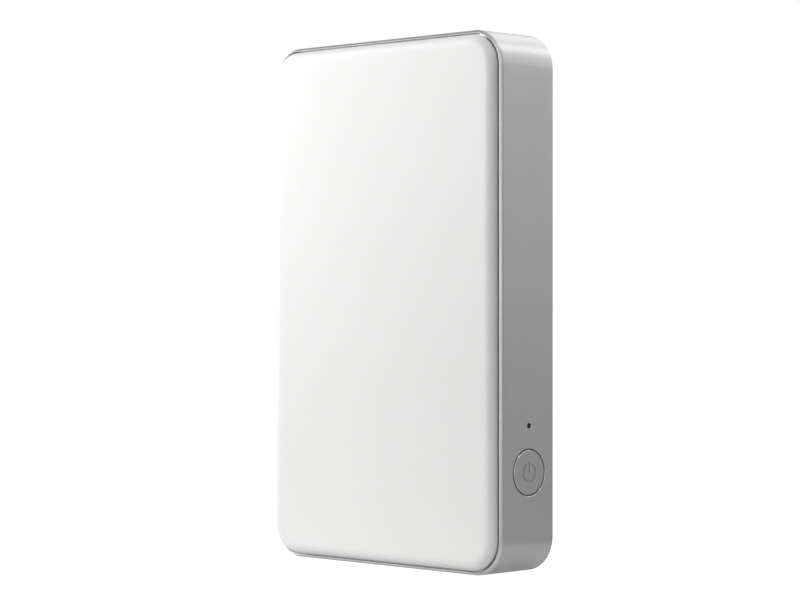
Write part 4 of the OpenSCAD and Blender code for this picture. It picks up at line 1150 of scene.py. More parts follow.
@dataclass(frozen=True)
class Fastener:
    """A pan-head screw with a cross recess and a rolled thread.

    Attributes:
        head: The head's radius.
        rise: The head's height.
        shank: The thread's outer radius.
        length: The thread's length below the head.
        pitch: The distance between two threads.
        root: The share of the shank's radius at the bottom of the thread.
        recess: Half the length of the cross.
        slot: Half the width of the cross.
        sides: How many sides the screw has.
        cuts: How many rings a turn of the thread has.
        dome: How many rings the head's dome has.
        point: The radius of the tip, as a share of the shank's.
        lead: The radius at the first ring, as a share of the full thread's.
        wall: The upright part of the head, as a share of its height.
        rim: The rounding of the head's lower edge, across and up.
        crown: How far along a quarter round the dome goes.
        bottom: The cross's length and height at its bottom, as shares of what they are at the top.
        taper: The share of the cross's width that stays the same towards the bottom.
    """

    head: float = 1.5
    rise: float = 0.55
    shank: float = 0.75
    length: float = 5.5
    pitch: float = 0.5
    root: float = 0.76
    recess: float = 0.78
    slot: float = 0.17
    sides: ClassVar[int] = 24
    cuts: ClassVar[int] = 5
    dome: ClassVar[int] = 5
    point: ClassVar[float] = 0.3
    lead: ClassVar[float] = 0.55
    wall: ClassVar[float] = 0.35
    rim: ClassVar[Pair] = (0.06, 0.05)
    crown: ClassVar[float] = 0.62
    bottom: ClassVar[Pair] = (0.42, 0.3)
    taper: ClassVar[float] = 0.6

    def thread(self, seat: Point, axis: Axis, way: float) -> list[list[Point]]:
        """Finds the rings of the thread, from its tip to the head.

        Args:
            seat: The middle of the head's underside.
            axis: The screw's direction.
            way: 1 if the head points along the axis, and -1 if it points against it.

        Returns:
            The rings.
        """
        count = int(self.length / self.pitch * self.cuts)
        deep = 1 - self.root
        turns = full_turn(self.sides)
        rings = [[axis.point(seat, self.shank * self.point, turn, -way * self.length) for turn in turns]]
        for i in range(1, count + 1):
            down = self.length * (1 - i / count)
            fade = min(1.0, i / self.cuts, (count - i) / self.cuts)
            tip = min(1.0, self.lead + (1 - self.lead) * i / self.cuts)
            ring = []
            for k, turn in enumerate(turns):
                phase = (down / self.pitch + k / self.sides) % 1.0
                share = self.root + deep * fade * (1 - abs(2 * phase - 1))
                ring.append(axis.point(seat, self.shank * share * tip, turn, -way * down))
            rings.append(ring)
        return rings

    def add(self, shape: Shape, cutter: Shape, seat: Point, axis: Axis, way: float = 1.0) -> None:
        """Adds the screw to a shape and its recess to a cutter.

        Args:
            shape: The shape that collects the screws.
            cutter: The shape that collects the recesses.
            seat: The middle of the head's underside.
            axis: The screw's direction.
            way: 1 if the head points along the axis, and -1 if it points against it.
        """
        turns = full_turn(self.sides)
        side = self.wall * self.rise
        profile = [(self.head - self.rim[0], 0.0), (self.head, self.rim[1]), (self.head, side)]
        for i in range(1, self.dome + 1):
            x, y = superellipse(self.crown * i / self.dome, 2.0)
            profile.append((self.head * x, side + (self.rise - side) * y))
        top = max(level for _, level in profile)
        profile = [(radius, level * self.rise / top if level > side else level) for radius, level in profile]
        rings = self.thread(seat, axis, way)
        rings += [[axis.point(seat, radius, turn, way * level) for turn in turns]
                  for radius, level in profile]
        shape.loft(rings)
        cross = []
        for share, level in ((1.0, self.rise + OVER), (self.bottom[0], self.rise * self.bottom[1])):
            long, half = self.recess * share, self.slot * (self.taper + (1 - self.taper) * share)
            corners = [
                (long, -half), (long, half), (half, half), (half, long),
                (-half, long), (-half, half), (-long, half), (-long, -half),
                (-half, -half), (-half, -long), (half, -long), (half, -half),
            ]
            cross.append([axis.point(seat, math.hypot(across, up), math.atan2(up, across), way * level)
                          for across, up in corners])
        cutter.loft(cross)


def rounded_box(width: float, height: float, corner: float, steps: int = 8) -> list[Pair]:
    """Finds the outline of a box with round corners about its middle.

    Args:
        width: Its width.
        height: Its height.
        corner: The radius of its corners.
        steps: How many parts a corner has.

    Returns:
        The outline, across and up from the middle.
    """
    found = []
    right, top = width / 2 - corner, height / 2 - corner
    corners = ((right, -top, -90.0), (right, top, 0.0), (-right, top, 90.0), (-right, -top, 180.0))
    for x, y, start in corners:
        for i in range(steps + 1):
            angle = math.radians(start + 90.0 * i / steps)
            found.append((x + corner * math.cos(angle), y + corner * math.sin(angle)))
    return found


@dataclass(frozen=True)
class Outline:
    """The rounded rectangle that the case and its covers follow.

    Attributes:
        half: Half the width of the case.
        height: The height of the case.
        corner: The radius of its corners.
        steps: How many parts a corner has.
        run: How far past a corner the surface still turns in its shading.
    """

    half: float = 37.7
    height: float = 124.0
    corner: float = 8.4
    steps: int = 20
    run: float = 2.5

    def points(self, inset: float, y: float) -> list[Point]:
        """Finds the corners of the outline at a distance inside the case's edge.

        Args:
            inset: The distance in from the edge.
            y: The level from front to back.

        Returns:
            The places, in order round the outline.
        """
        radius = max(self.corner - inset, 0.01)
        right, top = self.half - self.corner, self.height - self.corner
        low = self.corner
        centres = ((right, low, -90.0), (right, top, 0.0), (-right, top, 90.0), (-right, low, 180.0))
        found = []
        for x, z, start in centres:
            for i in range(self.steps + 1):
                angle = math.radians(start + 90.0 * i / self.steps)
                spot = (x + radius * math.cos(angle), y, z + radius * math.sin(angle))
                along = (-self.run * math.sin(angle), 0.0, self.run * math.cos(angle))
                before = [tuple(a - b for a, b in zip(spot, along))] if i == 0 else []
                after = [tuple(a + b for a, b in zip(spot, along))] if i == self.steps else []
                found += before + [spot] + after
        return found


# ---------- Sub-assemblies ----------


@dataclass
class Assembly:
    """A group of pieces that are made and dressed together.

    Attributes:
        made: The names of the pieces that are ready.
    """

    made: list[str] = field(default_factory=list, init=False)

    def dress(self, finish: Finish, *nodes: str) -> None:
        """Gives solids a finish.

        Args:
            finish: The finish.
            *nodes: The solids' names.
        """
        for node in nodes:
            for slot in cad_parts[node].material_slots:
                slot.material = finish.build()
            self.made.append(node)

    def place(self, piece: bpy.types.Object, slot: Slot, body: Body | None, *instead: str) -> None:
        """Puts a new piece on its body.

        Args:
            piece: The piece.
            slot: The finish that the record names for it; not used.
            body: What it rides on, or None to leave it on no body.
            *instead: The solids that it stands for.
        """
        if body:
            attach(piece, body.value)
        if instead:
            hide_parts(*instead)
        self.made.append(piece.name)

    def screws(self, name: str, kind: Fastener, seats: Sequence[Point], instead: str,
               axis: Axis = Axis.Y) -> None:
        """Makes a set of like screws.

        Args:
            name: The piece's name.
            kind: The screw.
            seats: The middles of the heads' undersides.
            instead: The solid that they stand for.
            axis: The direction in which their heads point.
        """
        shape, cutter = Shape(), Shape()
        for seat in seats:
            kind.add(shape, cutter, seat, axis)
        shape.carve(cutter, [SCREW_STEEL])
        self.place(shape.finish(name, [SCREW_STEEL], smooth=38.0), Slot.SCREW, Body.CASE, instead)

    def build(self) -> None:
        """Makes and dresses the group's pieces."""
        raise NotImplementedError


@dataclass
class CaseShell(Assembly):
    """The aluminium side frame with its button and lamp, and the back cover with its feet.

    Attributes:
        outline: The case's outline.
        rims: The levels of the front and back rims.
        chamfer: The width of the polished chamfer on the front rim.
        back_chamfer: The width of the small chamfer on the back rim.
        lip: The wall beside a cover.
        rebate: The depth of the step that takes a cover.
        wall: The frame's wall.
        lamp: The lamp hole's Y, Z and radius.
        lamp_edge: The width of the lamp hole's polished edge.
        port: The charging socket's hole: its Y, width, height and corner radius.
        pin: The distance of the two small holes from the middle, and their radius.
        mouth: The paper exit's hole: its Y, width, height and corner radius.
        corner_x: The feet's and case screws' distance from the middle.
        corner_z: Their heights.
        foot_r: A foot's radius.
        foot_y: The levels of a foot's base and of its tread.
        screw: A case screw.
        screw_y: The level of its head's underside.
        sides: How many sides a round hole has.
    """

    outline: Outline = Outline(steps=28)
    rims: Pair = (-9.35, 8.65)
    chamfer: float = 0.58
    back_chamfer: float = 0.4
    lip: float = 0.7
    rebate: float = 1.2
    wall: float = 1.5
    lamp: Point = (0.1, 34.0, 0.65)
    lamp_edge: float = 0.06
    port: tuple[float, ...] = (2.65, 8.1, 3.2, 0.9)
    pin: Pair = (10.0, 0.5)
    mouth: tuple[float, ...] = (-3.0, 55.2, 6.6, 3.0)
    corner_x: float = 30.4
    corner_z: Pair = (8.0, 119.4)
    foot_r: float = 3.2
    foot_y: Pair = (9.75, 11.15)
    screw: Fastener = Fastener(rise=0.65, length=5.4)
    screw_y: float = 9.05
    sides: ClassVar[int] = 96

    def section(self) -> list[tuple[float, float, int]]:
        """Draws the frame's section, from the front rebate over the outside to the back rebate.

        Returns:
            The distance in from the case's edge, the level and the finish of each point's next face.
        """
        front, back = self.rims
        wide, small, lip = self.chamfer, self.back_chamfer, self.lip
        front_step, back_step = front + self.rebate, back - self.rebate
        front_edge, back_edge = front + wide, back - small
        front_lip = [
            (self.wall, front_step, 0), (lip, front_step, 0), (lip, front + 0.4, 0),
            (lip, front + 0.09, 1), (lip - 0.03, front + 0.03, 1), (lip - 0.09, front, 1),
        ]
        front_chamfer = [
            (wide, front + 0.01, 1), (wide - 0.06, front + 0.05, 1), (0.06, front_edge - 0.06, 1),
            (0.02, front_edge, 0), (0.0, front_edge + 0.07, 0), (0.0, front_edge + 0.4, 0),
        ]
        back_chamfer = [
            (0.0, back_edge - 0.35, 0), (0.0, back_edge - 0.05, 0), (0.03, back_edge + 0.03, 0),
            (small - 0.03, back - 0.03, 0), (small + 0.05, back, 0),
        ]
        back_lip = [
            (lip - 0.08, back, 0), (lip, back - 0.08, 0), (lip, back_step, 0), (self.wall, back_step, 0),
        ]
        inside = [(self.wall, back_step - 0.4, 0), (self.wall, front_step + 0.4, 0)]
        return front_lip + front_chamfer + back_chamfer + back_lip + inside

    def holes(self) -> Shape:
        """Makes the cutter for the frame's holes, with a polished edge round the button and the lamp.

        Returns:
            The cutter.
        """
        cutter = Shape()
        half, height = self.outline.half, self.outline.height
        button = PowerButton()
        turns = full_turn(self.sides)
        round_holes = ((*button.centre, button.hole, button.edge[0]), (*self.lamp, self.lamp_edge))
        for y, z, radius, edge in round_holes:
            inner = (radius, half - self.wall - 1.0)
            levels = [inner, (radius, half - edge), (radius + edge + OVER, half + OVER)]
            rings = [cutter.ring([Axis.X.point((0.0, y, z), r, turn, level) for turn in turns])
                     for r, level in levels]
            for first, second, part in zip(rings, rings[1:], (0, 1)):
                cutter.bridge(first, second, part)
            cutter.cap(rings[0][::-1])
            cutter.cap(rings[-1])
        floor = (-OVER, self.wall + OVER)
        roof = (height - self.wall - OVER, height + OVER)
        for (y, wide, tall, corner), ends in ((self.port, floor), (self.mouth, roof)):
            box = rounded_box(wide, tall, corner, 10)
            cutter.loft([[(across, y + up, level) for across, up in box] for level in ends])
        apart, radius = self.pin
        for x in (-apart, apart):
            cutter.turned((x, self.port[0], 0.0), [(radius, end) for end in floor], 32, Axis.Z)
        return cutter

    def frame(self) -> bpy.types.Object:
        """Sweeps the frame's section round the case and cuts its holes.

        Returns:
            The frame.
        """
        finishes = [ALUMINIUM, POLISHED_EDGE]
        shape = Shape()
        section = self.section()
        rows = [shape.ring(self.outline.points(inset, level)) for inset, level, _ in section]
        for i, row in enumerate(rows):
            shape.bridge(row, rows[(i + 1) % len(rows)], section[i][2])
        shape.carve(self.holes(), finishes)
        return shape.finish("frame_shell", finishes, smooth=36.0)

    def feet(self) -> bpy.types.Object:
        """Turns four feet with a rounded tread and a shallow dish in the middle.

        Returns:
            The feet.
        """
        shape = Shape()
        base, tread = self.foot_y
        profile = [(self.foot_r - 0.12, base), (self.foot_r, base + 0.12), (self.foot_r, tread - 0.5)]
        for i in range(1, 9):
            x, y = superellipse(i / 8, 2.3)
            profile.append((self.foot_r - 0.6 * (1 - x), tread - 0.5 + 0.5 * y))
        profile += [
            (self.foot_r - 0.9, tread), (self.foot_r - 1.15, tread - 0.1),
            (self.foot_r - 1.5, tread - 0.18), (0.8, tread - 0.2), (0.3, tread - 0.2),
        ]
        for x in (-self.corner_x, self.corner_x):
            for z in self.corner_z:
                shape.turned((x, 0.0, z), profile, 48)
        return shape.finish("foot_pads", [FOOT_RUBBER], smooth=40.0)

    def build(self) -> None:
        """Makes the button, the feet and the screws, and dresses the shell."""
        self.place(self.frame(), Slot.ALUMINIUM, Body.CASE, "side_frame")
        self.place(PowerButton().make(), Slot.ALUMINIUM, Body.BUTTON, "power_button")
        self.dress(BACK_WHITE, "back_cover")
        self.dress(BLACK_PLASTIC, "exit_bezel")
        self.place(self.feet(), Slot.FOOT, Body.CASE, "rubber_feet")
        seats = [(x, self.screw_y, z) for x in (-self.corner_x, self.corner_x) for z in self.corner_z]
        self.screws("case_screw_set", self.screw, seats, "back_cover_screws")
        self.dress(LENS_SMOKE, "lamp_lens")
        self.dress(LENS_CLEAR, "charge_lens")


@dataclass(frozen=True)
class PowerButton:
    """The round push button with its engraved sign.

    Attributes:
        centre: Its middle's Y and Z.
        hole: The radius of the hole that it moves in.
        inner: The level of its back.
        face: The level of its face.
        radius: Its radius.
        edge: The width and depth of its polished edge.
        flange: The radius and thickness of the flange that keeps it in.
        ring: The sign's radius.
        line: Half the width of the sign's line.
        depth: The sign's depth.
        opening: Half the angle in degrees of the ring's opening.
        bar: The ends of the upright bar, from the middle.
        steps: How many steps the sign's ring has.
        round_steps: How many steps a round end of the sign has.
        sides: How many sides the button has.
        soft: The width of the flange's soft edges.
        fullness: How round the polished edge is.
    """

    centre: Pair = (0.1, 23.4)
    hole: float = 5.42
    inner: float = 35.5
    face: float = 37.7
    radius: float = 5.1
    edge: Pair = (0.1, 0.1)
    flange: Pair = (5.9, 0.55)
    ring: float = 2.05
    line: float = 0.155
    depth: float = 0.16
    opening: float = 32.0
    bar: Pair = (0.1, 2.3)
    steps: ClassVar[int] = 40
    round_steps: ClassVar[int] = 8
    sides: ClassVar[int] = 96
    soft: ClassVar[float] = 0.08
    fullness: ClassVar[float] = 1.15

    def mark(self) -> list[list[Pair]]:
        """Draws the sign's ring and bar with round ends.

        Returns:
            The two outlines, across and up from the middle.
        """
        start, end = math.radians(90 + self.opening), math.radians(450 - self.opening)
        turns = [start + (end - start) * i / self.steps for i in range(self.steps + 1)]
        half = [math.pi * i / self.round_steps for i in range(self.round_steps + 1)]
        outer = arc((0.0, 0.0), self.ring + self.line, turns)
        inner = arc((0.0, 0.0), self.ring - self.line, turns[::-1])
        caps = []
        for turn, first in ((end, end), (start, start + math.pi)):
            mid = (self.ring * math.cos(turn), self.ring * math.sin(turn))
            caps.append(arc(mid, self.line, [first + angle for angle in half[1:-1]]))
        low, high = self.bar
        bar = arc((0.0, high), self.line, half) + arc((0.0, low), -self.line, half)
        return [outer + caps[0] + inner + caps[1], bar]

    def make(self) -> bpy.types.Object:
        """Turns the button, polishes its edge and cuts the sign.

        Returns:
            The button.
        """
        finishes = [BUTTON_METAL, POLISHED_EDGE, SIGN_DARK]
        shape, cutter = Shape(), Shape()
        wide, deep = self.edge
        wing, thick = self.flange
        centre = (0.0, *self.centre)
        collar = self.inner + thick
        body = [
            (wing - self.soft, self.inner), (wing, self.inner + self.soft), (wing, collar - self.soft),
            (wing - self.soft, collar), (self.radius, collar), (self.radius, self.face - deep),
        ]
        shares = [i / 4 for i in range(1, 5)]
        crown = [(self.radius - wide * share, self.face - deep * (1 - share) ** self.fullness)
                 for share in shares]
        face = [(self.radius - wide - 0.5, self.face), (0.2, self.face)]
        turns = full_turn(self.sides)
        rings = [shape.ring([Axis.X.point(centre, radius, turn, level) for turn in turns])
                 for radius, level in body + crown + face]
        polished = range(len(body) - 1, len(body) + len(crown) - 1)
        for i, (first, second) in enumerate(zip(rings, rings[1:])):
            shape.bridge(first, second, 1 if i in polished else 0)
        shape.cap(rings[0][::-1])
        shape.cap(rings[-1])
        for outline in self.mark():
            cutter.loft([[(level, self.centre[0] + across, self.centre[1] + up) for across, up in outline]
                         for level in (self.face - self.depth, self.face + OVER)], 2)
        shape.carve(cutter, finishes)
        return shape.finish("button_cap", finishes, smooth=24.0)


@dataclass
class FrontCover(Assembly):
    """The white front cover with its liner, magnets and pressure plate.

    Attributes:
        outline: The case's outline.
        inset: From the case's edge to the cover's side.
        undercut: How far the skirt steps in behind the edge, and how far behind the rim the step is.
        roll: How far the soft edge reaches in over the face.
        wall: The cover's thickness.
        face_y: The level of its face.
        rim_y: Where the soft edge starts.
        skirt_y: The end of its skirt.
        fullness: How full the soft edge is.
        steps: How many rings the soft edge has.
    """

    outline: Outline = Outline()
    inset: float = 1.1
    roll: float = 2.6
    undercut: Pair = (0.45, 0.06)
    wall: float = 1.4
    face_y: float = -11.15
    rim_y: float = -9.35
    skirt_y: float = -8.2
    fullness: float = 2.15
    steps: int = 14

    def shell(self) -> bpy.types.Object:
        """Makes the shell with an edge that turns evenly into the flat face.

        Returns:
            The shell.
        """
        shape = Shape()
        rise = self.rim_y - self.face_y
        step, behind = self.undercut
        skirt, inside = self.inset + step, self.inset + self.wall
        profile = [
            (skirt + 0.02, self.skirt_y), (skirt, self.skirt_y - 0.05), (skirt, self.rim_y + behind),
            (self.inset + 0.03, self.rim_y + 0.01),
        ]
        for i in range(self.steps + 1):
            x, y = superellipse(i / self.steps, self.fullness)
            profile.append((self.inset + self.roll * (1 - x), self.rim_y - rise * y))
        flat = [self.inset + self.roll + reach for reach in (0.6, 2.0)]
        profile += [(inset, self.face_y) for inset in flat]
        inner = self.face_y + self.wall
        back = [(flat[-1], inner), (inside + 0.6, inner), (inside, inner + 0.3), (inside, self.skirt_y)]
        outer_rows = [shape.ring(self.outline.points(*ends)) for ends in profile]
        inner_rows = [shape.ring(self.outline.points(*ends)) for ends in back]
        for first, second in zip(outer_rows, outer_rows[1:]):
            shape.bridge(first, second)
        for first, second in zip(inner_rows, inner_rows[1:]):
            shape.bridge(first, second)
        shape.bridge(inner_rows[-1], outer_rows[0])
        shape.cap(outer_rows[-1])
        shape.cap(inner_rows[0][::-1])
        return shape.finish("cover_shell", [COVER_WHITE], smooth=28.0)

    def build(self) -> None:
        """Makes the shell and dresses what is behind it."""
        self.place(self.shell(), Slot.WHITE_PLASTIC, Body.COVER, "front_cover")
        self.dress(LINER_PLASTIC, "cover_liner")
        self.dress(MAGNET_NICKEL, "cover_magnets", "keeper_magnets")
        self.dress(SHAFT_STEEL, "hinge_pin")
        self.dress(SHEET_STEEL, "pressure_plate")
        self.dress(PAD_CORK, "pressure_pad")


@dataclass(frozen=True)
class Coil:
    """A compression spring that runs from front to back.

    Attributes:
        start: Its front end's level.
        end: Its back end's level.
        radius: Its outer radius.
        wire: The wire's radius.
        turns: How many turns it has.
        steps: How many steps a turn has.
        sides: How many sides the wire has.
        flat: How much of a turn lies flat at each end.
    """

    start: float
    end: float
    radius: float
    wire: float
    turns: int
    steps: ClassVar[int] = 40
    sides: ClassVar[int] = 10
    flat: ClassVar[float] = 0.55

    def wind(self, shape: Shape, x: float, z: float) -> None:
        """Adds the coil to a shape, with flat end turns.

        Args:
            shape: The shape.
            x: Its axis's X.
            z: Its axis's Z.
        """
        count = self.steps * self.turns
        low, high = self.start + self.wire, self.end - self.wire
        middle = self.radius - self.wire
        path = []
        for i in range(count + 1):
            angle = 2 * math.pi * i / self.steps
            share = min(max((i / self.steps - self.flat) / (self.turns - 2 * self.flat), 0.0), 1.0)
            level = low + (high - low) * share
            path.append(Vector((x + middle * math.cos(angle), level, z + middle * math.sin(angle))))
        shape.tube(path, self.wire, self.sides)


@dataclass
class Springs(Assembly):
    """The two pairs of springs, made at one length and attached to no body.

    Attributes:
        plate: The coil behind the pressure plate.
        plate_at: The plate springs' distance from the middle, and their height.
        head: The coil behind the heat sink.
        head_at: The head springs' distance from the middle, and their height.
    """

    plate: Coil = Coil(-9.73, -8.37, 2.0, 0.15, 3)
    plate_at: Pair = (14.0, 72.0)
    head: Coil = Coil(-7.43, -6.12, 2.2, 0.16, 3)
    head_at: Pair = (15.0, 104.5)

    def pair(self, name: str, coil: Coil, at: Pair, bodies: tuple[Body, Body], instead: str) -> None:
        """Makes two coils that are attached to no body.

        Args:
            name: The piece's name.
            coil: The coil.
            at: Its distance from the middle and its height.
            bodies: The bodies at its front and back ends; not used.
            instead: The solid that it stands for.
        """
        shape = Shape()
        for side in (-1, 1):
            coil.wind(shape, side * at[0], at[1])
        piece = shape.finish(name, [SPRING_STEEL], smooth=60.0)
        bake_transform(piece)
        self.place(piece, Slot.SPRING, None, instead)

    def build(self) -> None:
        """Winds both pairs."""
        self.pair("plate_coils", self.plate, self.plate_at, (Body.COVER, Body.PLATE), "plate_springs")
        self.pair("head_coils", self.head, self.head_at, (Body.CASE, Body.HEAD), "head_springs")


@dataclass
class Mechanism(Assembly):
    """The chassis, tray, rollers, gears, thermal head and motor.

    Attributes:
        frame_screw: A screw of the folded frame.
        frame_seats: The middles of their heads' undersides.
        motor_screw: A screw of the motor.
        motor_seats: The middles of their heads' undersides.
    """

    frame_screw: Fastener = Fastener()
    frame_seats: tuple[Point, ...] = ((-20.0, 8.0, 85.12), (20.0, 8.0, 85.12), (23.8, 8.0, 45.0))
    motor_screw: Fastener = Fastener(
        head=1.2, rise=0.5, shank=0.7, length=2.6, pitch=0.4, recess=0.62, slot=0.14)
    motor_seats: tuple[Point, ...] = ((28.2, 3.9, 50.3), (28.2, 3.9, 56.5))

    def build(self) -> None:
        """Makes the screws and dresses the mechanism."""
        self.dress(BLACK_PLASTIC, "chassis")
        self.dress(TRAY_PLASTIC, "paper_tray")
        self.dress(GUIDE_PLASTIC, "paper_guide", "exit_guide")
        self.dress(SHEET_STEEL, "mechanism_frame", "spring_stay")
        self.dress(SCREW_STEEL, "gear_posts")
        self.screws("frame_screw_set", self.frame_screw, self.frame_seats, "mechanism_screws")
        self.screws("motor_screw_set", self.motor_screw, self.motor_seats, "motor_screws", Axis.X)
        self.dress(BRONZE, "roller_bushes")
        self.dress(SHAFT_STEEL, "platen_shaft", "feed_shaft", "pickup_shaft", "pinch_roller",
                   "head_pivot_rod", "motor_shaft")
        self.dress(ROLLER_RUBBER, "platen_rubber", "feed_rubber")
        self.dress(TYRE_RUBBER, "pickup_tyres")
        self.dress(GEAR_PLASTIC, "platen_gear", "feed_gear", "pickup_gear", "upper_idler_gear",
                   "lower_idler_gear", "second_reduction_gear", "first_reduction_gear")
        self.dress(PINION_BRASS, "motor_pinion")
        self.dress(SINK_METAL, "head_heat_sink")
        self.dress(CERAMIC, "thermal_head")
        self.dress(MOTOR_METAL, "motor_can")
        self.dress(FLAT_CABLE, "head_flat_cable")
        self.dress(CHIP_RESIN, "paper_sensor")


@dataclass(frozen=True)
class Chip:
    """A chip with bent legs on two or four sides and a dot beside its first leg.

    Attributes:
        low: The left and lower edge of the room it takes.
        high: The right and upper edge of that room.
        board: The level of the board's face that carries it.
        tall: How far it stands off the board, below zero if it stands towards the front.
        sides: How many sides have legs.
        pitch: The distance between two legs.
        leg: A leg's width.
        reach: How far a leg stands out of the body.
        thick: A leg's thickness.
        dot: How far in from its corner the dot is, its radius at the bottom and at the top, and half its
            depth.
    """

    low: Pair
    high: Pair
    board: float
    tall: float
    sides: int = 4
    pitch: float = 0.8
    leg: ClassVar[float] = 0.34
    reach: ClassVar[float] = 0.62
    thick: ClassVar[float] = 0.12
    dot: ClassVar[tuple[float, ...]] = (0.75, 0.26, 0.3, 0.08)

    def row(self, shape: Shape, across: bool) -> None:
        """Adds the legs of two opposite sides.

        Args:
            shape: The shape.
            across: True for the left and right sides, and False for the lower and upper ones.
        """
        first, second = (0, 1) if across else (1, 0)
        length = self.high[second] - self.low[second] - 2 * self.reach
        count = max(int((length - self.leg) / self.pitch) + 1, 2)
        middle = (self.high[second] + self.low[second]) / 2
        side, thick, rise = math.copysign(1.0, self.tall), self.thick, abs(self.tall) * 0.5
        bend = [
            (0.0, rise), (0.24, rise), (0.36, thick), (self.reach, thick),
            (self.reach, 0.0), (0.26, 0.0), (0.14, rise - thick), (0.0, rise - thick),
        ]
        for i in range(count):
            along = middle + (i - (count - 1) / 2) * self.pitch
            for edge, way in ((self.low[first], 1.0), (self.high[first], -1.0)):
                rings = []
                for end in (along - self.leg / 2, along + self.leg / 2):
                    places = [(edge + way * (self.reach - out), end, level) for out, level in bend]
                    rings.append([(a if across else b, self.board + side * level, b if across else a)
                                  for a, b, level in places])
                shape.loft(rings, 1)

    def legs(self, shape: Shape) -> None:
        """Adds all the legs.

        Args:
            shape: The shape.
        """
        self.row(shape, True)
        if self.sides == 4:
            self.row(shape, False)

    def mould(self, body: Shape, cutter: Shape) -> None:
        """Adds the moulded body, and its dot to a cutter.

        Args:
            body: The shape of the moulded bodies.
            cutter: The shape that is cut out of them.
        """
        side = math.copysign(1.0, self.tall)
        inset = (self.reach, self.reach if self.sides == 4 else 0.0)
        front, back = sorted((self.board + 0.1 * side, self.board + self.tall))
        low = (self.low[0] + inset[0], front, self.low[1] + inset[1])
        high = (self.high[0] - inset[0], back, self.high[1] - inset[1])
        body.block(low, high)
        away, narrow, wide, deep = self.dot
        spot = (low[0] + away, self.board + self.tall, high[2] - away)
        cutter.turned(spot, [(narrow, -deep), (wide, deep)], 20)


@dataclass(frozen=True)
class ChargingSocket:
    """The charging socket: a rolled tin shell with two latch slots, and a tongue with five contacts.

    Attributes:
        centre: The socket's Y.
        ends: The levels of its mouth and of its closed end.
        width: Its width.
        tall: Its depth from front to back.
        wall: The shell's wall.
        cut: How much its two slanted corners lose.
        tongue: The tongue's half width, its levels from front to back and its low and high ends.
        contacts: How many contacts it has.
        pitch: The distance between them.
        strip: A contact's half width and how far it stands off the tongue.
        latch: A latch slot's distance from the middle, half its width and its low and high ends.
    """

    centre: float = 2.65
    ends: Pair = (1.9, 7.1)
    width: float = 7.6
    tall: float = 2.7
    wall: float = 0.3
    cut: float = 0.85
    tongue: tuple[float, ...] = (2.4, 2.25, 2.95, 2.5, 6.95)
    contacts: int = 5
    pitch: float = 0.75
    strip: Pair = (0.19, 0.05)
    latch: tuple[float, ...] = (1.9, 0.4, 1.5, 3.0)

    def ring(self, inset: float, level: float) -> list[Point]:
        """Draws the shell's outline at a level.

        Args:
            inset: The distance in from its outside.
            level: The height.

        Returns:
            The outline.
        """
        half, deep = self.width / 2 - inset, self.tall / 2 - inset
        cut = self.cut - inset * 0.4
        small = max(0.35 - inset, 0.08)
        spots = [(half - cut, deep), (half, deep - cut), (half, small - deep), (half - small, -deep)]
        spots += [(-across, up) for across, up in reversed(spots)]
        return [(across, self.centre + up, level) for across, up in spots]

    def make(self) -> bpy.types.Object:
        """Makes the socket.

        Returns:
            The socket.
        """
        finishes = [TIN_PLATE, CHIP_RESIN, GOLD_CONTACT]
        low, high = self.ends
        shape, cutter = Shape(), Shape()
        skin = [
            (0.12, high), (0.0, high - 0.12), (0.0, low + 0.06), (0.06, low),
            (self.wall - 0.06, low), (self.wall, low + 0.06), (self.wall, high - self.wall),
        ]
        shape.loft([self.ring(*ends) for ends in skin])
        front = self.centre - self.tall / 2
        away, half, near, far = self.latch
        for x in (-away, away):
            corner = (x + half, front + self.wall + 0.05, low + far)
            cutter.block((x - half, front - OVER, low + near), corner)
        shape.carve(cutter, finishes)
        half, near, far, start, end = self.tongue
        shape.block((-half, near, start), (half, far, end), 1)
        wide, proud = self.strip
        for i in range(self.contacts):
            x = (i - (self.contacts - 1) / 2) * self.pitch
            shape.block((x - wide, near - proud, start + 0.25), (x + wide, near + proud, end - 0.4), 2)
        return shape.finish("charging_socket", finishes, smooth=30.0)


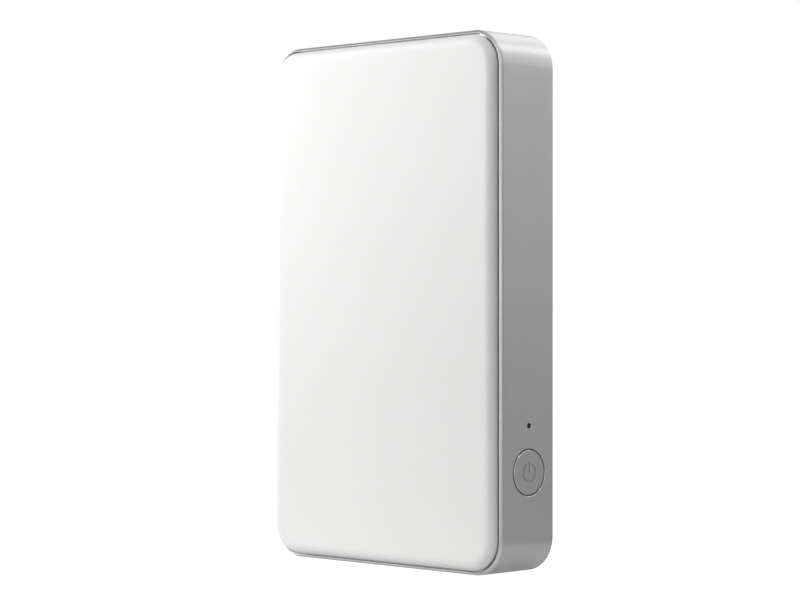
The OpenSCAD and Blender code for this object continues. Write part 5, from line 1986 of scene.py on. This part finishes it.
@dataclass
class Electronics(Assembly):
    """The boards, the battery and the charging socket.

    Attributes:
        board_screw: A screw of the main board.
        board_seats: The middles of their heads' undersides.
        chips: The chips on both faces of the main board.
        switch: The low and high corners of the reset switch.
        plunger: Its plunger's middle, radius and length.
        shield: The low and high corners of the shielding can.
        vents: The number of the can's holes across and up, their distance and their radius.
        pouch: The low and high corners of the battery.
        pouch_edge: The radius of the battery's corners, seen from the front.
        tape: The height of the tape at the battery's upper end.
    """

    board_screw: Fastener = Fastener(rise=0.6, length=4.0)
    board_seats: tuple[Point, ...] = (
        (-23.0, 5.0, 11.5), (23.0, 5.0, 11.5), (-23.0, 5.0, 34.5), (23.0, 5.0, 34.5))
    chips: tuple[Chip, ...] = (
        Chip((-6.0, 14.0), (4.98, 24.97), 5.0, 1.1),
        Chip((9.0, 15.0), (16.98, 22.98), 5.0, 0.9, 4, 0.65),
        Chip((20.0, 26.0), (26.0, 30.97), 5.0, 1.0, 2, 1.1),
        Chip((8.0, 24.0), (14.98, 30.98), 4.0, -1.2, 2, 1.1),
        Chip((-15.0, 12.0), (-9.0, 18.0), 4.0, -1.1, 4, 0.65),
    )
    switch: tuple[Point, Point] = ((-11.5, 2.2, 3.6), (-8.5, 4.0, 5.19))
    plunger: tuple[Point, float, float] = ((-10.0, 3.1, 3.2), 0.55, 0.6)
    shield: tuple[Point, Point] = ((-19.02, 5.0, 15.01), (-9.01, 6.8, 27.02))
    vents: tuple[int, int, float, float] = (5, 6, 1.6, 0.36)
    pouch: tuple[Point, Point] = ((-29.9, -1.2, 40.0), (8.9, 5.8, 72.6))
    pouch_edge: float = 1.6
    tape: float = 5.2

    def chip_set(self) -> bpy.types.Object:
        """Makes the chips and the reset switch.

        Returns:
            The chips.
        """
        finishes = [CHIP_RESIN, TIN_PLATE]
        body, cutter = Shape(), Shape()
        for chip in self.chips:
            chip.mould(body, cutter)
        body.carve(cutter, finishes)
        for chip in self.chips:
            chip.legs(body)
        body.block(*self.switch, 1)
        spot, radius, length = self.plunger
        body.turned(spot, [(radius - 0.08, 0.0), (radius, 0.08), (radius, length)], 24, Axis.Z)
        return body.finish("chip_set", finishes, smooth=32.0)

    def can(self) -> bpy.types.Object:
        """Makes the shielding can with its rows of holes.

        Returns:
            The can.
        """
        shape, cutter = Shape(), Shape()
        low, high = self.shield
        across, up, apart, radius = self.vents
        middle = [(a + b) / 2 for a, b in zip(low, high)]
        shape.block(low, high)
        for i in range(across):
            for j in range(up):
                x = middle[0] + (i - (across - 1) / 2) * apart
                z = middle[2] + (j - (up - 1) / 2) * apart
                cutter.turned((x, high[1], z), [(radius, -0.3), (radius, 0.2)], 20)
        shape.carve(cutter, [TIN_PLATE])
        return shape.finish("shield_can", [TIN_PLATE], bevel=0.12, smooth=40.0)

    def battery(self) -> bpy.types.Object:
        """Makes the battery's soft pouch with its folded ends and its tape.

        Returns:
            The battery.
        """
        shape = Shape()
        (left, front, low), (right, back, high) = self.pouch
        levels = [(0.06, 0.9), (0.1, 0.5), (0.28, 0.2), (0.6, 0.07), (1.2, 0.04), (3.2, 0.04), (3.35, 0.14)]
        depth = back - front
        rows = levels + [(depth - level, inset) for level, inset in reversed(levels) if level < depth / 2]
        x, z = (left + right) / 2, (low + high) / 2
        rings = []
        for level, inset in rows:
            corner = self.pouch_edge - inset * 0.6
            box = rounded_box(right - left - 2 * inset, high - low - 2 * inset, corner, 10)
            rings.append([(x + across, front + level, z + up) for across, up in box])
        shape.loft(rings)
        band = rounded_box(depth, self.tape, 0.9)
        shape.loft([[(x, (front + back) / 2 + across, high - self.tape / 2 + up) for across, up in band]
                    for x in (left + 0.9, right - 0.9)], 1)
        return shape.finish("battery_pouch", [BATTERY_WRAP, TAPE_AMBER], smooth=40.0)

    def build(self) -> None:
        """Makes the chips, the can, the battery, the socket and the screws, and dresses the rest."""
        self.dress(BOARD_GREEN, "main_board", "button_board")
        self.place(self.chip_set(), Slot.CHIP, Body.CASE, "board_chips")
        self.dress(CHIP_RESIN, "power_switch")
        self.place(self.can(), Slot.SHEET, Body.CASE, "board_shield")
        self.place(ChargingSocket().make(), Slot.SHEET, Body.CASE, "usb_socket")
        self.dress(CONNECTOR_PLASTIC, "board_connectors")
        self.screws("board_screw_set", self.board_screw, self.board_seats, "board_screws")
        self.dress(RED_WIRE, "battery_wires")
        self.place(self.battery(), Slot.BATTERY, Body.CASE, "battery_pack")


# ---------- Studio ----------


@dataclass(frozen=True)
class Softbox:
    """A soft square lamp.

    Attributes:
        name: Its name.
        at: Its place in metres.
        aim: What it points at, in metres.
        size: The length of its sides in metres.
        power: Its power in watts.
    """

    name: str
    at: Point
    aim: Point
    size: Pair
    power: float

    def hang(self) -> None:
        """Puts the lamp in the scene."""
        data = bpy.data.lights.new(self.name, "AREA")
        data.shape = "RECTANGLE"
        data.size, data.size_y = self.size
        data.energy = self.power
        lamp = bpy.data.objects.new(self.name, data)
        lamp.location = self.at
        lamp.rotation_euler = (Vector(self.aim) - Vector(self.at)).to_track_quat("-Z", "Y").to_euler()
        lamp.visible_camera = False
        bpy.context.scene.collection.objects.link(lamp)


@dataclass
class Studio:
    """The camera, the lamps, the pale floor and the pale surroundings.

    Attributes:
        eye: The camera's place in metres.
        turn: The camera's turn about the upright, in degrees.
        lens: The lens in millimetres on a 36 mm sensor.
        lift: The lens's upward shift.
        floor_half: Half the floor's length in metres.
        floor_shade: How pale the floor is.
        floor_glow: The floor's own light, which keeps it pale far from the lamps.
        floor_cast: How much of its light the floor throws back on the part.
        floor_near: The light that the floor gives the part from close by.
        floor_reach: Where that light ends and where it is full, in metres from the part.
        tones: How bright the surroundings are to the right, left, back, front, top and bottom.
        lamps: The lamps.
        sensor: The sensor's width in millimetres.
        nearest: The nearest distance that the camera sees, in metres.
    """

    eye: Point = (0.4082, -0.4147, 0.062)
    turn: float = 44.80
    lens: float = 109.85
    lift: float = 0.0035
    floor_half: float = 12.0
    floor_shade: float = 0.5
    floor_glow: float = 1.0
    floor_cast: float = 0.35
    floor_near: float = 0.26
    floor_reach: Pair = (0.08, 0.045)
    tones: tuple[float, ...] = (0.23, 0.3, 0.92, 1.27, 0.3, 0.3)
    lamps: tuple[Softbox, ...] = (
        Softbox("left_lamp", (-0.41, -0.165, 0.15), (0.0, 0.0, 0.08), (0.2, 0.2), 1.1),
        Softbox("left_high_lamp", (-0.3, -0.22, 0.28), (0.0, 0.0, 0.07), (0.2, 0.2), 0.33),
        Softbox("front_lamp", (-0.16, -0.3, 0.2), (0.0, -0.011, 0.09), (0.15, 0.15), 0.15),
        Softbox("back_lamp", (0.35, 0.95, 0.85), (0.03, 0.0, 0.12), (0.4, 0.3), 0.56),
        Softbox("rim_lamp", (-0.3, 0.95, 0.8), (0.03, 0.0, 0.12), (0.6, 0.3), 0.48),
        Softbox("top_lamp", (0.05, 0.15, 0.55), (0.03, 0.03, 0.0), (0.4, 0.4), 0.39),
        Softbox("side_lamp", (0.45, 0.5, 0.35), (0.03, 0.0, 0.09), (0.3, 0.3), 0.077),
        Softbox("edge_lamp", (0.66, -0.64, 0.05), (0.03, 0.0, 0.05), (0.15, 0.06), 0.085),
        Softbox("button_lamp", (0.27, -0.06, 0.48), (0.0377, 0.0, 0.023), (0.1, 0.1), 0.12),
    )
    sensor: ClassVar[float] = 36.0
    nearest: ClassVar[float] = 0.01

    def set_camera(self) -> None:
        """Puts up the camera."""
        data = bpy.data.cameras.new("camera")
        data.lens = self.lens
        data.sensor_width = self.sensor
        data.shift_y = self.lift
        data.clip_start = self.nearest
        camera = bpy.data.objects.new("camera", data)
        camera.location = self.eye
        camera.rotation_euler = (math.radians(90.0), 0.0, math.radians(self.turn))
        bpy.context.scene.collection.objects.link(camera)
        bpy.context.scene.camera = camera

    def lay_floor(self) -> None:
        """Lays the pale floor, which takes only a faint shadow."""
        shape = Shape()
        reach = self.floor_half / MM
        corners = [(-reach, -reach, 0.0), (reach, -reach, 0.0), (reach, reach, 0.0), (-reach, reach, 0.0)]
        shape.cap(shape.ring(corners))
        data = bpy.data.materials.new("pale_floor")
        data.use_nodes = True
        data.node_tree.nodes.clear()
        wiring = Wiring(data.node_tree)
        seen = wiring.node("BsdfDiffuse", {"Color": (self.floor_shade,) * 3}).outputs[0]
        glow = wiring.node("Emission", {"Color": WHITE, "Strength": self.floor_glow}).outputs[0]
        bright = wiring.node("AddShader", {0: seen, 1: glow}).outputs[0]
        thrown = wiring.node("BsdfDiffuse", {"Color": (self.floor_cast,) * 3}).outputs[0]
        away = wiring.vector("LENGTH", wiring.node("TexCoord").outputs["Object"], (0.0, 0.0, 0.0))
        near = wiring.math("MULTIPLY", wiring.span(away, self.floor_reach), self.floor_near)
        lit = wiring.node("Emission", {"Color": WHITE, "Strength": near}).outputs[0]
        cast = wiring.node("AddShader", {0: thrown, 1: lit}).outputs[0]
        eye = wiring.node("LightPath").outputs["Is Camera Ray"]
        mixed = wiring.node("MixShader", {0: eye, 1: cast, 2: bright}).outputs[0]
        wiring.node("OutputMaterial", {"Surface": mixed})
        floor = shape.finish("floor", [])
        floor.data.materials.append(data)

    def light(self) -> None:
        """Hangs the lamps and sets the pale surroundings, which are softly toned by direction."""
        for lamp in self.lamps:
            lamp.hang()
        world = bpy.data.worlds.new("surroundings")
        world.use_nodes = True
        bpy.context.scene.world = world
        world.node_tree.nodes.clear()
        wiring = Wiring(world.node_tree)
        part = wiring.node("SeparateXYZ", {0: wiring.node("TexCoord").outputs["Generated"]})
        total: object = 0.0
        for axis, pair in zip("XYZ", zip(self.tones[::2], self.tones[1::2])):
            for sign, tone in zip((1.0, -1.0), pair):
                ahead = wiring.math("MAXIMUM", wiring.math("MULTIPLY", part.outputs[axis], sign), 0.0)
                share = wiring.math("MULTIPLY", wiring.math("POWER", ahead, 2.0), tone)
                total = wiring.math("ADD", total, share)
        soft = wiring.node("Background", {"Color": WHITE, "Strength": total}).outputs[0]
        plain = wiring.node("Background", {"Color": WHITE, "Strength": 1.0}).outputs[0]
        eye = wiring.node("LightPath").outputs["Is Camera Ray"]
        mixed = wiring.node("MixShader", {0: eye, 1: soft, 2: plain}).outputs[0]
        wiring.node("OutputWorld", {"Surface": mixed})

    def build(self) -> None:
        """Sets up the studio."""
        bpy.context.scene.view_settings.view_transform = "Standard"
        self.set_camera()
        self.lay_floor()
        self.light()


def main() -> None:
    """Builds the studio and each sub-assembly in order."""
    logging.basicConfig(level=logging.INFO, format="%(message)s")
    Studio().build()
    for assembly in (CaseShell(), FrontCover(), Springs(), Mechanism(), Electronics()):
        assembly.build()
        for piece in assembly.made:
            LOG.info("%s: %s", type(assembly).__name__, piece)


if __name__ == "__main__":
    main()
